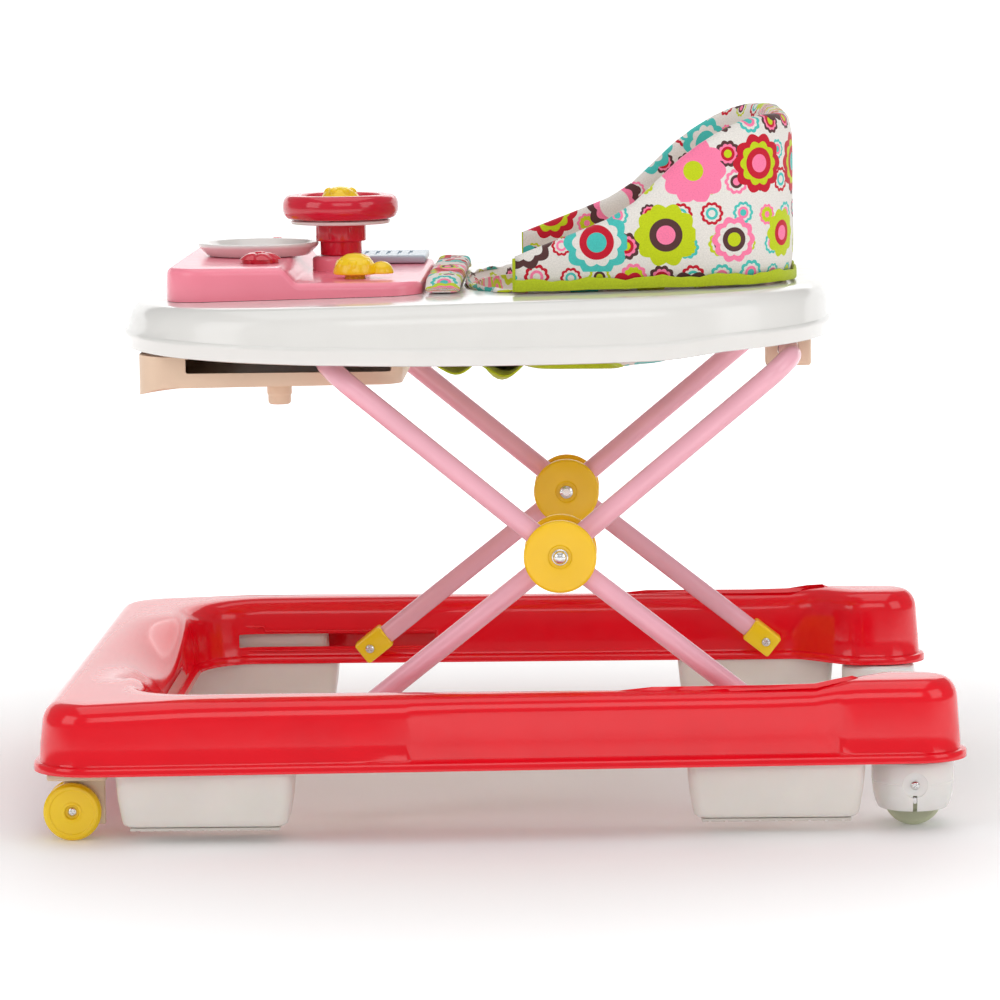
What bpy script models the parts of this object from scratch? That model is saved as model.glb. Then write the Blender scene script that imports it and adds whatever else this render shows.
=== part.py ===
"""Baby walker: red U-shaped base on four casters, folding X-frame, white tray, toy panel and seat.

Frame: metres, +Z up, floor at z = 0, front of the walker towards -X, the child's left towards -Y.
"""
import math

import bmesh
import bpy
from mathutils import Matrix, Vector

# ---- driving dimensions (metres) ----
BASE_LENGTH = 0.700            # overall length, front to rear
FRONT_WIDTH = 0.600            # base width across the front corners
REAR_WIDTH = 0.544             # base width across the rear ends
BASE_EDGE_Z = 0.054            # height of the base's lower edge
BASE_TOP_FRONT = 0.105         # height of the base's top at the crossbar
BASE_TOP_MIDDLE = 0.109
BASE_TOP_REAR = 0.115          # height of the humps over the rear wheels
BASE_WALL = 0.0028
BASE_LIP = 0.0040              # how far the lower rim stands out
BASE_LIP_HEIGHT = 0.006
INNER_HALF = 0.237             # from the middle to the inner edge of a side rail
CROSSBAR_DEPTH = 0.084         # front crossbar, front to rear
FRONT_CORNER = 0.045
INNER_CORNER = 0.050
BULGE_IN = 0.038               # how far the rear humps come inwards
SCOOP_DEPTH = 0.026            # hollow in the rear edge of the crossbar
SCOOP_HALF = 0.150
END_LENGTH = 0.040             # rounded rear end of a rail

TUBE_RADIUS = 0.008
TUBE_BEND = 0.028
LEG_GAP = 0.001                # between the two frames where they cross
OUTER_LEG_Y = 0.217            # middle of the outer frame's leg
PIVOT_X = 0.214                # rear lower pivot of the outer frame
PIVOT_Z = 0.0735
LOWER_SPAN = 0.168             # pivot to hub, along X
LOWER_RISE = 0.1325            # pivot to hub, along Z
UPPER_SPAN = 0.176             # hub to upper crossbar, along X
UPPER_RISE = 0.1455            # hub to upper crossbar, along Z
HUB_RADIUS = 0.0275
HUB_THICKNESS = 0.005
BOLT_RADIUS = 0.003
PIN_RADIUS = 0.005
PIN_LENGTH = 0.0125            # from the boss through the base's inner wall
SLOT_FORWARD = 0.115           # slot length in front of the slider's resting place
SLOT_BACK = 0.053

TRAY_LENGTH = 0.552
TRAY_WIDTH = 0.500
TRAY_FRONT_X = -0.294
TRAY_EDGE_Z = 0.356            # lower edge of the skirt at its middle
TRAY_TOP_FRONT = 0.393
TRAY_TOP_REAR = 0.404
TRAY_WALL = 0.0025
TRAY_SQUARENESS = 3.5
OPENING_FRONT_X = -0.028
OPENING_LENGTH = 0.228
OPENING_WIDTH = 0.300

PAN_HALF = 0.185
PAN_BOTTOM_Z = 0.333
PAN_WALL = 0.0025
PAN_REAR_X = -0.073
PAN_FRONT_X = -0.274

PANEL_FRONT_X = -0.256
PANEL_REAR_X = -0.059
PANEL_HALF = 0.150
PANEL_TOP_Z = 0.408
PANEL_HUMP = 0.012
PANEL_WALL = 0.003
WHEEL_X = -0.1287              # steering axis
RIM_RADIUS = 0.046
RIM_BOTTOM_Z = 0.449
RIM_HEIGHT = 0.0195
BUTTON_RADIUS = 0.0145
FLOWER_X = -0.1865
FLOWER_Y = 0.090
DOME_X = -0.112
DOME_Y = -0.100
DOME_STEM = 0.008

SEAT_HALF = 0.170
SEAT_FRONT_X = 0.013
SEAT_REAR_X = 0.228
SEAT_THICKNESS = 0.022
SEAT_TOP_Z = 0.537
SLING_BOTTOM_Z = 0.330
SLING_WALL = 0.003

FRONT_WHEEL_RADIUS = 0.0218
REAR_WHEEL_RADIUS = 0.0225
CASTER_X = -0.317              # swivel axis of a front caster
CASTER_Y = 0.255
CASTER_TRAIL = 0.004
WEB_HALF = 0.0035              # half thickness of the fork's web
DISC_THICKNESS = 0.0085
REAR_HOUSING_X = 0.310
REAR_HOUSING_Y = 0.226
REAR_HOUSING_RADIUS = 0.031
REAR_WHEEL_HALF = 0.007

BLOCK_LENGTH = 0.134
FRONT_BLOCK_X = -0.220
REAR_BLOCK_X = 0.206
BLOCK_BOTTOM_Z = 0.0125
PAD_THICKNESS = 0.0025

FIT = 0.0003                   # between faces that touch
RUNNING_FIT = 0.0006           # between faces that slide or turn

# ---- sizes worked out from them ----
FRONT_X = -BASE_LENGTH / 2
HUB_X = PIVOT_X - LOWER_SPAN
HUB_Z = PIVOT_Z + LOWER_RISE
SLIDER_X = HUB_X - LOWER_SPAN
INNER_LEG_Y = OUTER_LEG_Y - 2 * TUBE_RADIUS - LEG_GAP
CROSS_Z = HUB_Z + UPPER_RISE
OUTER_TOP_X = HUB_X - UPPER_SPAN
INNER_TOP_X = HUB_X + UPPER_SPAN
WALL_FACE_Y = INNER_HALF + BASE_LIP
TRAY_MIDDLE_X = TRAY_FRONT_X + TRAY_LENGTH / 2

SIDES = (("left", -1), ("right", 1))

for old in list(bpy.data.objects):
    bpy.data.objects.remove(old, do_unlink=True)
for old in list(bpy.data.collections):
    bpy.data.collections.remove(old)

PARTS = bpy.data.collections.new("baby_walker")
CUTTERS = bpy.data.collections.new("cutters")
bpy.context.scene.collection.children.link(PARTS)
bpy.context.scene.collection.children.link(CUTTERS)


# ---- finishes ----
def finish(name, colour, roughness, metallic=0.0):
    """A Principled finish; colour is linear RGB."""
    material = bpy.data.materials.new(name)
    material.use_nodes = True
    shader = material.node_tree.nodes["Principled BSDF"]
    shader.inputs["Base Color"].default_value = (*colour, 1.0)
    shader.inputs["Roughness"].default_value = roughness
    shader.inputs["Metallic"].default_value = metallic
    return material


RED = finish("red_gloss", (0.85, 0.012, 0.022), 0.15)
PINK_TUBE = finish("pink_paint", (0.86, 0.38, 0.47), 0.25)
PINK = finish("pink_plastic", (1.0, 0.26, 0.35), 0.3)
WHITE = finish("white_gloss", (0.78, 0.76, 0.73), 0.2)
NATURAL = finish("natural_plastic", (0.75, 0.68, 0.6), 0.45)
BEIGE = finish("beige_plastic", (0.72, 0.45, 0.28), 0.45)
YELLOW = finish("yellow_plastic", (0.93, 0.56, 0.01), 0.25)
STEEL = finish("steel", (0.7, 0.7, 0.7), 0.2, 1.0)
RUBBER = finish("pad_rubber", (0.5, 0.48, 0.45), 0.8)
CRIMSON = finish("crimson_plastic", (0.65, 0.01, 0.03), 0.25)
PALE_BLUE = finish("pale_blue_plastic", (0.45, 0.58, 0.68), 0.3)
FABRIC = finish("cream_fabric", (0.8, 0.75, 0.7), 0.9)


# ---- building blocks ----
def link(obj, name, material, collection=PARTS):
    """Name an object, put it in its collection and give it its finish."""
    obj.name = name
    obj.data.name = name
    for owner in list(obj.users_collection):
        owner.objects.unlink(obj)
    collection.objects.link(obj)
    if material is not None:
        obj.data.materials.clear()
        obj.data.materials.append(material)
    if collection is CUTTERS:
        obj.hide_render = True
        obj.display_type = "WIRE"
    return obj


def from_bmesh(bm, name, material, collection=PARTS):
    """Turn a bmesh into a linked object."""
    mesh = bpy.data.meshes.new(name)
    bm.normal_update()
    bm.to_mesh(mesh)
    bm.free()
    return link(bpy.data.objects.new(name, mesh), name, material, collection)


def joint_empty(name, location):
    """An empty on a joint's axis, which carries the pieces that move."""
    empty = bpy.data.objects.new(name, None)
    empty.location = location
    empty.empty_display_size = 0.02
    PARTS.objects.link(empty)
    return empty


def carry(empty, *pieces):
    """Parent pieces to an empty without moving them."""
    for piece in pieces:
        piece.parent = empty
        piece.matrix_parent_inverse = Matrix.Translation(empty.location).inverted()


def smooth(obj, angle=35.0):
    """Shade round faces smooth and keep the sharp edges."""
    obj.data.shade_smooth()
    obj.data.set_sharp_from_angle(angle=math.radians(angle))
    return obj


def turned(name, profile, centre, material, axis="Z", steps=16, ring=False, collection=PARTS):
    """Turn a profile of (radius, height) about an axis; it runs down its outer side."""
    bm = bmesh.new()
    verts = [bm.verts.new((radius, 0.0, height)) for radius, height in profile]
    for first, second in zip(verts, verts[1:]):
        bm.edges.new((first, second))
    if ring:
        bm.edges.new((verts[-1], verts[0]))
    obj = from_bmesh(bm, name, material, collection)
    screw = obj.modifiers.new("turn", "SCREW")
    screw.axis = "Z"
    screw.angle = 2 * math.pi
    screw.steps = steps
    screw.render_steps = steps
    screw.use_merge_vertices = True
    screw.merge_threshold = 0.00001
    obj.location = centre
    turn_about_x = {"Z": 0.0, "-Y": math.pi / 2, "Y": -math.pi / 2, "-Z": math.pi}[axis]
    obj.rotation_euler = (turn_about_x, 0.0, 0.0)
    return obj


def rod(name, radius, start, length, material, axis="Z", steps=14, collection=PARTS):
    """A plain round bar."""
    profile = [(0, length), (radius, length), (radius, 0), (0, 0)]
    return turned(name, profile, start, material, axis, steps, collection=collection)


def block(name, low, high, bevel, material, segments=2, collection=PARTS):
    """A box with rounded edges between two corners."""
    low = Vector(low)
    high = Vector(high)
    bm = bmesh.new()
    bmesh.ops.create_cube(bm, size=1.0, matrix=Matrix.Diagonal((*(high - low), 1.0)))
    obj = from_bmesh(bm, name, material, collection)
    obj.location = (low + high) / 2
    if bevel:
        rounding = obj.modifiers.new("round", "BEVEL")
        rounding.width = bevel
        rounding.segments = segments
        rounding.limit_method = "ANGLE"
    return obj


def combine(obj, tool, operation="DIFFERENCE"):
    """Cut a tool from an object, or join it on."""
    link(tool, tool.name, None, CUTTERS)
    modifier = obj.modifiers.new(operation.lower(), "BOOLEAN")
    modifier.operation = operation
    modifier.object = tool
    modifier.solver = "EXACT"
    return obj


def loft(name, loops, material, cap_first=False, cap_last=False, closed=True, collection=PARTS):
    """Skin a list of loops with equal point counts."""
    bm = bmesh.new()
    rows = [[bm.verts.new(point) for point in loop] for loop in loops]
    count = len(rows[0])
    span = count if closed else count - 1
    for lower, upper in zip(rows, rows[1:]):
        for i in range(span):
            j = (i + 1) % count
            bm.faces.new((lower[i], lower[j], upper[j], upper[i]))
    if cap_first:
        bm.faces.new(list(reversed(rows[0])))
    if cap_last:
        bm.faces.new(rows[-1])
    bmesh.ops.recalc_face_normals(bm, faces=bm.faces)
    return from_bmesh(bm, name, material, collection)


def thicken(obj, wall):
    """Give an open surface its wall, on the inner side."""
    solidify = obj.modifiers.new("wall", "SOLIDIFY")
    solidify.thickness = wall
    solidify.offset = -1.0
    solidify.use_even_offset = True
    return obj


def rounded_rectangle(low_x, high_x, half_y, radius, corner_steps=4):
    """Points anticlockwise round a rectangle with round corners, centred on Y = 0."""
    points = []
    corners = ((high_x - radius, half_y - radius, 0), (low_x + radius, half_y - radius, 1),
               (low_x + radius, radius - half_y, 2), (high_x - radius, radius - half_y, 3))
    for centre_x, centre_y, quarter in corners:
        for step in range(corner_steps + 1):
            angle = math.pi / 2 * (quarter + step / corner_steps)
            points.append((centre_x + radius * math.cos(angle), centre_y + radius * math.sin(angle)))
    return points


def squarish(middle_x, half_x, half_y, power, count):
    """Points anticlockwise round a superellipse."""
    points = []
    for i in range(count):
        angle = 2 * math.pi * i / count
        cosine = math.cos(angle)
        sine = math.sin(angle)
        x = middle_x + half_x * math.copysign(abs(cosine) ** (2 / power), cosine)
        y = half_y * math.copysign(abs(sine) ** (2 / power), sine)
        points.append((x, y))
    return points


def ease(value):
    """Smooth step from 0 to 1."""
    value = min(1.0, max(0.0, value))
    return value * value * (3 - 2 * value)


def arc(centre_x, centre_y, radius_x, radius_y, start, end, steps):
    """Points on an elliptic arc between two angles in degrees, without the last one."""
    points = []
    for i in range(steps):
        angle = math.radians(start + (end - start) * i / steps)
        points.append((centre_x + radius_x * math.cos(angle), centre_y + radius_y * math.sin(angle)))
    return points


def line(start, end, steps):
    """Points along a straight run, without the last one."""
    return [(start[0] + (end[0] - start[0]) * i / steps, start[1] + (end[1] - start[1]) * i / steps)
            for i in range(steps)]


# ---- base ----
def base_top(x):
    """Height of the base's top at x."""
    middle = BASE_TOP_FRONT + (BASE_TOP_MIDDLE - BASE_TOP_FRONT) * ease((x - FRONT_X) / 0.15)
    return middle + (BASE_TOP_REAR - BASE_TOP_MIDDLE) * ease((x - REAR_HOUSING_X + 0.085) / 0.045)


def base_half_outlines():
    """Outer and inner edge of one half of the U, from the front middle to the rear end."""
    half_front = FRONT_WIDTH / 2
    half_rear = REAR_WIDTH / 2
    rear_x = -FRONT_X
    end_length = END_LENGTH
    bulge_start = rear_x - 0.115
    corner_x = FRONT_X + FRONT_CORNER
    bar_x = FRONT_X + CROSSBAR_DEPTH
    slope = (half_rear - half_front) / (rear_x - end_length - corner_x)
    bulge_y = INNER_HALF - BULGE_IN
    end_middle = (half_rear + bulge_y) / 2
    side_y = half_front + slope * (bulge_start - corner_x)

    outer = line((FRONT_X, 0), (FRONT_X, half_front - FRONT_CORNER), 4)
    outer += arc(corner_x, half_front - FRONT_CORNER, FRONT_CORNER, FRONT_CORNER, 180, 90, 5)
    outer += line((corner_x, half_front), (bulge_start, side_y), 5)
    outer += line((bulge_start, side_y), (rear_x - end_length, half_rear), 4)
    outer += arc(rear_x - end_length, end_middle, end_length, half_rear - end_middle, 90, 0, 4)

    inner = line((bar_x, 0), (bar_x, INNER_HALF - INNER_CORNER), 4)
    inner += arc(bar_x + INNER_CORNER, INNER_HALF - INNER_CORNER, INNER_CORNER, INNER_CORNER, 180, 90, 5)
    inner += line((bar_x + INNER_CORNER, INNER_HALF), (bulge_start, INNER_HALF), 5)
    for x, y in line((bulge_start, 0), (rear_x - end_length, 1), 4):
        inner.append((x, INNER_HALF - BULGE_IN * ease(y * 1.3)))
    inner += arc(rear_x - end_length, end_middle, end_length, end_middle - bulge_y, -90, 0, 4)
    return outer, inner, (rear_x, end_middle)


def base_shell():
    """The red moulding: an open-bottomed U channel with a lip, two slots and two pivot holes."""
    outer, inner, tip = base_half_outlines()
    outline = [(x, -y) for x, y in reversed(outer[1:])]
    outline += outer
    outline.append(tip)
    outline += list(reversed(inner))
    outline += [(x, -y) for x, y in inner[1:]]
    outline.append((tip[0], -tip[1]))
    count = len(outline)

    normals = []
    for i in range(count):
        before = Vector(outline[i - 1])
        after = Vector(outline[(i + 1) % count])
        along = (after - before).normalized()
        normals.append(Vector((-along.y, along.x)))

    def dip(x, y):
        """Depth of the hollow in the rear edge of the crossbar."""
        middle_x = FRONT_X + CROSSBAR_DEPTH * 0.6
        if abs(y) >= SCOOP_HALF or x < middle_x or x > FRONT_X + CROSSBAR_DEPTH + 0.01:
            return 0.0
        return SCOOP_DEPTH * math.cos(math.pi / 2 * y / SCOOP_HALF) ** 2

    def loop(inset, height):
        """The outline moved inwards; height is a number or a drop below the top."""
        points = []
        for (x, y), normal in zip(outline, normals):
            moved_x = x - inset * normal.x
            moved_y = y - inset * normal.y
            z = height if height > 0 else base_top(moved_x) + height - dip(moved_x, moved_y)
            points.append((moved_x, moved_y, z))
        return points

    lip_top = BASE_EDGE_Z + BASE_LIP_HEIGHT
    loops = [loop(0, BASE_EDGE_Z), loop(0, lip_top), loop(BASE_LIP, lip_top + 0.0005),
             loop(BASE_LIP + 0.004, -0.010), loop(BASE_LIP + 0.008, -0.0025), loop(BASE_LIP + 0.014, -0.00001)]
    bm = bmesh.new()
    rows = [[bm.verts.new(point) for point in points] for points in loops]
    for lower, upper in zip(rows, rows[1:]):
        for i in range(count):
            j = (i + 1) % count
            bm.faces.new((lower[i], lower[j], upper[j], upper[i]))
    top = rows[-1]
    half = len(outer)
    first = 2 * half - 1
    for i in range(first - 1):
        a = top[i]
        b = top[i + 1]
        c = top[(count - 3 - i) % count]
        d = top[(count - 2 - i) % count]
        bm.faces.new((a, b, c, d))
    bm.faces.new((top[first - 1], top[first], top[first + 1]))
    bm.faces.new((top[0], top[count - 2], top[count - 1]))
    bmesh.ops.recalc_face_normals(bm, faces=bm.faces)
    shell = from_bmesh(bm, "base_shell", RED)
    thicken(shell, BASE_WALL)
    for side, sign in SIDES:
        low_y = min(sign * (WALL_FACE_Y - 0.008), sign * (WALL_FACE_Y + 0.018))
        slot = block(f"slot_cutter_{side}",
                     (SLIDER_X - SLOT_FORWARD, low_y, PIVOT_Z - PIN_RADIUS - RUNNING_FIT),
                     (SLIDER_X + SLOT_BACK, low_y + 0.026, PIVOT_Z + PIN_RADIUS + RUNNING_FIT), 0, None,
                     collection=CUTTERS)
        combine(shell, slot)
        hole = rod(f"pivot_cutter_{side}", PIN_RADIUS + RUNNING_FIT,
                   (PIVOT_X, sign * (WALL_FACE_Y - 0.008), PIVOT_Z), 0.026, None,
                   "Y" if sign > 0 else "-Y", 12, CUTTERS)
        combine(shell, hole)
    return shell


def rail_edge(x):
    """Distance from the middle to the outer edge of a side rail at x."""
    corner_x = FRONT_X + FRONT_CORNER
    rear_x = -FRONT_X - END_LENGTH
    return FRONT_WIDTH / 2 + (REAR_WIDTH - FRONT_WIDTH) / 2 * (x - corner_x) / (rear_x - corner_x)


def anti_fall_block(name, middle_x, sign, material):
    """A tapered box under a rail, which stops the walker at a step; its top reaches into the rail."""
    outer_y = rail_edge(middle_x + BLOCK_LENGTH / 2) - 0.004
    inner_y = INNER_HALF + 0.003
    middle_y = (outer_y + inner_y) / 2
    half_y = (outer_y - inner_y) / 2
    half_x = BLOCK_LENGTH / 2
    loops = []
    for z, shrink_x, shrink_y in ((BLOCK_BOTTOM_Z, 0.006, 0.003), (BASE_EDGE_Z - FIT, 0.0, 0.0),
                                  (BASE_EDGE_Z + 0.001, 0.010, 0.0075),
                                  (BASE_TOP_FRONT - BASE_WALL - 0.014, 0.014, 0.0095)):
        outline = rounded_rectangle(middle_x - half_x + shrink_x, middle_x + half_x - shrink_x,
                                    half_y - shrink_y, 0.006, 2)
        loops.append([(x, sign * middle_y + y, z) for x, y in outline])
    return loft(name, loops, material, cap_first=True, cap_last=True), middle_y, half_y


def blocks_and_pads():
    """Four blocks with a thin grip pad under each."""
    for row, middle_x in (("front", FRONT_BLOCK_X), ("rear", REAR_BLOCK_X)):
        for side, sign in SIDES:
            _, middle_y, half_y = anti_fall_block(f"anti_fall_block_{row}_{side}", middle_x, sign, NATURAL)
            block(f"grip_pad_{row}_{side}",
                  (middle_x - BLOCK_LENGTH / 2 + 0.011, sign * middle_y - half_y + 0.006,
                   BLOCK_BOTTOM_Z - FIT - PAD_THICKNESS),
                  (middle_x + BLOCK_LENGTH / 2 - 0.011, sign * middle_y + half_y - 0.006,
                   BLOCK_BOTTOM_Z - FIT), 0, RUBBER)


# ---- casters ----
def front_caster(side, sign):
    """Socket in the base, swivelling fork, twin wheel and its screw."""
    stem_radius = 0.005
    stem_top = base_top(CASTER_X) - BASE_WALL - 0.016
    hood_bottom = 2 * FRONT_WHEEL_RADIUS + 0.0018
    hood_top = hood_bottom + 0.0055
    y = sign * CASTER_Y
    turned(f"front_caster_socket_{side}",
           [(0.009, stem_top + 0.004), (0.009, hood_top + 0.0006), (stem_radius + RUNNING_FIT, hood_top + 0.0006),
            (stem_radius + RUNNING_FIT, stem_top + 0.004)],
           (CASTER_X, y, 0), NATURAL, ring=True, steps=14)

    swivel = joint_empty(f"front_caster_axis_{side}", (CASTER_X, y, hood_top))
    wheel_x = CASTER_X - CASTER_TRAIL
    fork = block(f"front_caster_fork_{side}", (CASTER_X - 0.0225, y - 0.0125, hood_bottom),
                 (CASTER_X + 0.0225, y + 0.0125, hood_top), 0.002, NATURAL)
    web = block(f"fork_web_{side}", (wheel_x - 0.007, y - WEB_HALF, 0.011),
                (CASTER_X + 0.020, y + WEB_HALF, hood_bottom + 0.002), 0, None, collection=CUTTERS)
    stem = rod(f"fork_stem_{side}", stem_radius, (CASTER_X, y, hood_top - 0.002),
               stem_top - hood_top + 0.004, None, collection=CUTTERS, steps=16)
    bore = rod(f"fork_bore_{side}", 0.0035 + RUNNING_FIT, (wheel_x, y - sign * 0.01, FRONT_WHEEL_RADIUS), 0.02,
               None, "Y" if sign > 0 else "-Y", 12, CUTTERS)
    combine(fork, web, "UNION")
    combine(fork, stem, "UNION")
    combine(fork, bore)

    inside = WEB_HALF + 0.0008
    outside = inside + DISC_THICKNESS
    radius = FRONT_WHEEL_RADIUS
    recess = 0.0045
    profile = [(0, -outside + 0.001), (0.0035, -outside + 0.001), (0.006, -outside), (radius - 0.002, -outside),
               (radius, -outside + 0.002), (radius, -inside - 0.0015), (radius - 0.0015, -inside), (0.0035, -inside),
               (0.0035, inside), (radius - 0.0015, inside), (radius, inside + 0.0015), (radius, outside - 0.002),
               (radius - 0.002, outside), (recess, outside), (recess, outside - 0.003), (0.0016, outside - 0.003),
               (0.0016, outside - 0.010), (0, outside - 0.010)]
    facing = "Y" if sign > 0 else "-Y"
    axle = joint_empty(f"front_wheel_axis_{side}", (wheel_x, y, radius))
    wheel = turned(f"front_wheel_{side}", list(reversed(profile)), (wheel_x, y, radius), YELLOW, facing, 20)
    head = outside - 0.003 + FIT
    screw = turned(f"front_axle_screw_{side}",
                   [(0, head + 0.002), (0.0022, head + 0.002), (0.0036, head + 0.0008), (0.0036, head),
                    (0.0013, head), (0.0013, head - 0.006), (0, head - 0.006)],
                   (wheel_x, y, radius), STEEL, facing, 10)
    carry(swivel, fork)
    carry(axle, wheel, screw)


def rear_caster(side, sign):
    """Dome housing under the rear hump, with a wheel on a steel axle."""
    y = sign * REAR_HOUSING_Y
    radius = REAR_HOUSING_RADIUS
    facing = "Y" if sign > 0 else "-Y"
    top = BASE_EDGE_Z + 0.012
    wall = 0.0025
    low = 0.0135
    housing = turned(f"rear_caster_housing_{side}",
                     [(0, top), (radius - 0.015, top), (radius - 0.015, BASE_EDGE_Z - 0.0008),
                      (radius - 0.005, BASE_EDGE_Z - 0.0015),
                      (radius, BASE_EDGE_Z - 0.010), (radius, low), (radius - wall, low),
                      (radius - wall, BASE_EDGE_Z - 0.010), (radius - 0.008, BASE_EDGE_Z - 0.002),
                      (0, BASE_EDGE_Z - 0.002)],
                     (REAR_HOUSING_X, y, 0), NATURAL, steps=18)
    bore = rod(f"rear_axle_bore_{side}", 0.0025 + FIT, (REAR_HOUSING_X, y - sign * 0.04, REAR_WHEEL_RADIUS), 0.08,
               None, facing, 12, CUTTERS)
    combine(housing, bore)
    screw_z = 0.0345
    screw_bore = rod(f"housing_screw_bore_{side}", 0.0014 + FIT,
                     (REAR_HOUSING_X, y + sign * (radius - 0.010), screw_z), 0.02, None, facing, 12, CUTTERS)
    combine(housing, screw_bore)
    turned(f"rear_housing_screw_{side}",
           [(0, 0.0026), (0.0022, 0.0026), (0.0034, 0.0014), (0.0034, FIT), (0.0014, FIT), (0.0014, -0.005),
            (0, -0.005)],
           (REAR_HOUSING_X, y + sign * radius, screw_z), STEEL, facing, 10)
    turned(f"rear_axle_{side}",
           [(0, radius + 0.0012), (0.0025, radius + 0.0012), (0.0025, -radius - 0.0005), (0, -radius - 0.0005)],
           (REAR_HOUSING_X, y, REAR_WHEEL_RADIUS), STEEL, facing, 10)
    half = REAR_WHEEL_HALF
    wheel = turned(f"rear_wheel_{side}",
                   [(REAR_WHEEL_RADIUS - 0.002, half), (REAR_WHEEL_RADIUS, half - 0.002),
                    (REAR_WHEEL_RADIUS, 0.002 - half), (REAR_WHEEL_RADIUS - 0.002, -half),
                    (0.0025 + RUNNING_FIT, -half), (0.0025 + RUNNING_FIT, half)],
                   (REAR_HOUSING_X, y, REAR_WHEEL_RADIUS), YELLOW, facing, 20, ring=True)
    axle = joint_empty(f"rear_wheel_axis_{side}", (REAR_HOUSING_X, y, REAR_WHEEL_RADIUS))
    carry(axle, wheel)


# ---- folding frame ----
def bent_frame(name, leg_y, start, hub, top, bolt_low, material):
    """A steel tube bent into a U: two legs from the floor end past the hub to a crossbar."""
    lower = (Vector((hub[0], 0, hub[1])) - Vector((start[0], 0, start[1]))).normalized()
    upper = (Vector((top[0], 0, top[1])) - Vector((hub[0], 0, hub[1]))).normalized()
    half = []
    foot = Vector((start[0], leg_y, start[1])) + lower * 0.0045
    half.append(foot)
    half.append(Vector((hub[0], leg_y, hub[1])))
    corner = Vector((top[0], leg_y, top[1]))
    middle = corner - upper * TUBE_BEND - Vector((0, TUBE_BEND, 0))
    for step in range(5):
        angle = math.pi / 2 * step / 4
        half.append(middle + Vector((0, TUBE_BEND * math.cos(angle), 0)) + upper * TUBE_BEND * math.sin(angle))
    points = half + [Vector((p.x, -p.y, p.z)) for p in reversed(half)]

    curve = bpy.data.curves.new(name, "CURVE")
    curve.dimensions = "3D"
    curve.bevel_depth = TUBE_RADIUS
    curve.bevel_resolution = 3
    curve.use_fill_caps = True
    spline = curve.splines.new("POLY")
    spline.points.add(len(points) - 1)
    for spot, point in zip(spline.points, points):
        spot.co = (*point, 1.0)
    guide = bpy.data.objects.new(f"{name}_curve", curve)
    CUTTERS.objects.link(guide)
    depsgraph = bpy.context.evaluated_depsgraph_get()
    mesh = bpy.data.meshes.new_from_object(guide.evaluated_get(depsgraph))
    bm = bmesh.new()
    bm.from_mesh(mesh)
    bmesh.ops.remove_doubles(bm, verts=bm.verts, dist=0.00001)
    bmesh.ops.recalc_face_normals(bm, faces=bm.faces)
    bpy.data.objects.remove(guide, do_unlink=True)
    frame = from_bmesh(bm, name, material)
    for side, sign in SIDES:
        bolt_hole = rod(f"{name}_bolt_hole_{side}", BOLT_RADIUS + FIT, (hub[0], sign * bolt_low, hub[1]), 0.06,
                        None, "Y" if sign > 0 else "-Y", 12, CUTTERS)
        combine(frame, bolt_hole)
    return frame


def end_cap(name, side, sign, leg_y, pivot, angle):
    """Moulded cap on a tube's lower end, with a round boss and a pin that enters the base."""
    half_y = 0.010
    bore_start = 0.0042
    facing = "Y" if sign > 0 else "-Y"
    pivot_at = Vector((pivot[0], 0, pivot[1]))
    cap = block(f"{name}_{side}", (-0.012, -half_y, -0.010), (0.016, half_y, 0.010), 0.0025, YELLOW)
    cap.location += Vector((pivot[0], sign * leg_y, pivot[1])) - cap.location
    along = Vector((math.cos(angle), 0, math.sin(angle)))
    cap.location += along * 0.002
    cap.rotation_euler = (0, -angle, 0)
    boss_length = INNER_HALF - RUNNING_FIT - leg_y - half_y + 0.002
    pin_end = boss_length + PIN_LENGTH - 0.004 + RUNNING_FIT
    boss = turned(f"{name}_boss_{side}",
                  [(0, pin_end), (PIN_RADIUS, pin_end), (PIN_RADIUS, boss_length), (0.008, boss_length),
                   (0.008, 0), (0, 0)],
                  pivot_at + Vector((0, sign * (leg_y + half_y - 0.002), 0)), None, facing, 14, collection=CUTTERS)
    bore = rod(f"{name}_bore_{side}", TUBE_RADIUS + FIT,
               pivot_at + Vector((0, sign * leg_y, 0)) + along * bore_start, 0.05, None, "Z", 16, CUTTERS)
    bore.rotation_euler = (0, math.pi / 2 - angle, 0)
    screw_hole = rod(f"{name}_screw_hole_{side}", 0.0016 + FIT, pivot_at + Vector((0, sign * (leg_y - 0.014), 0)),
                     0.012, None, facing, 12, CUTTERS)
    combine(cap, bore)
    combine(cap, boss, "UNION")
    combine(cap, screw_hole)
    face = leg_y - half_y
    screw = turned(f"{name}_screw_{side}",
                   [(0, 0.0030), (0.0026, 0.0030), (0.0042, 0.0016), (0.0042, FIT), (0.0016, FIT), (0.0016, -0.006),
                    (0, -0.006)],
                   pivot_at + Vector((0, sign * face, 0)), STEEL, "-Y" if sign > 0 else "Y", 10)
    return cap, screw


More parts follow.
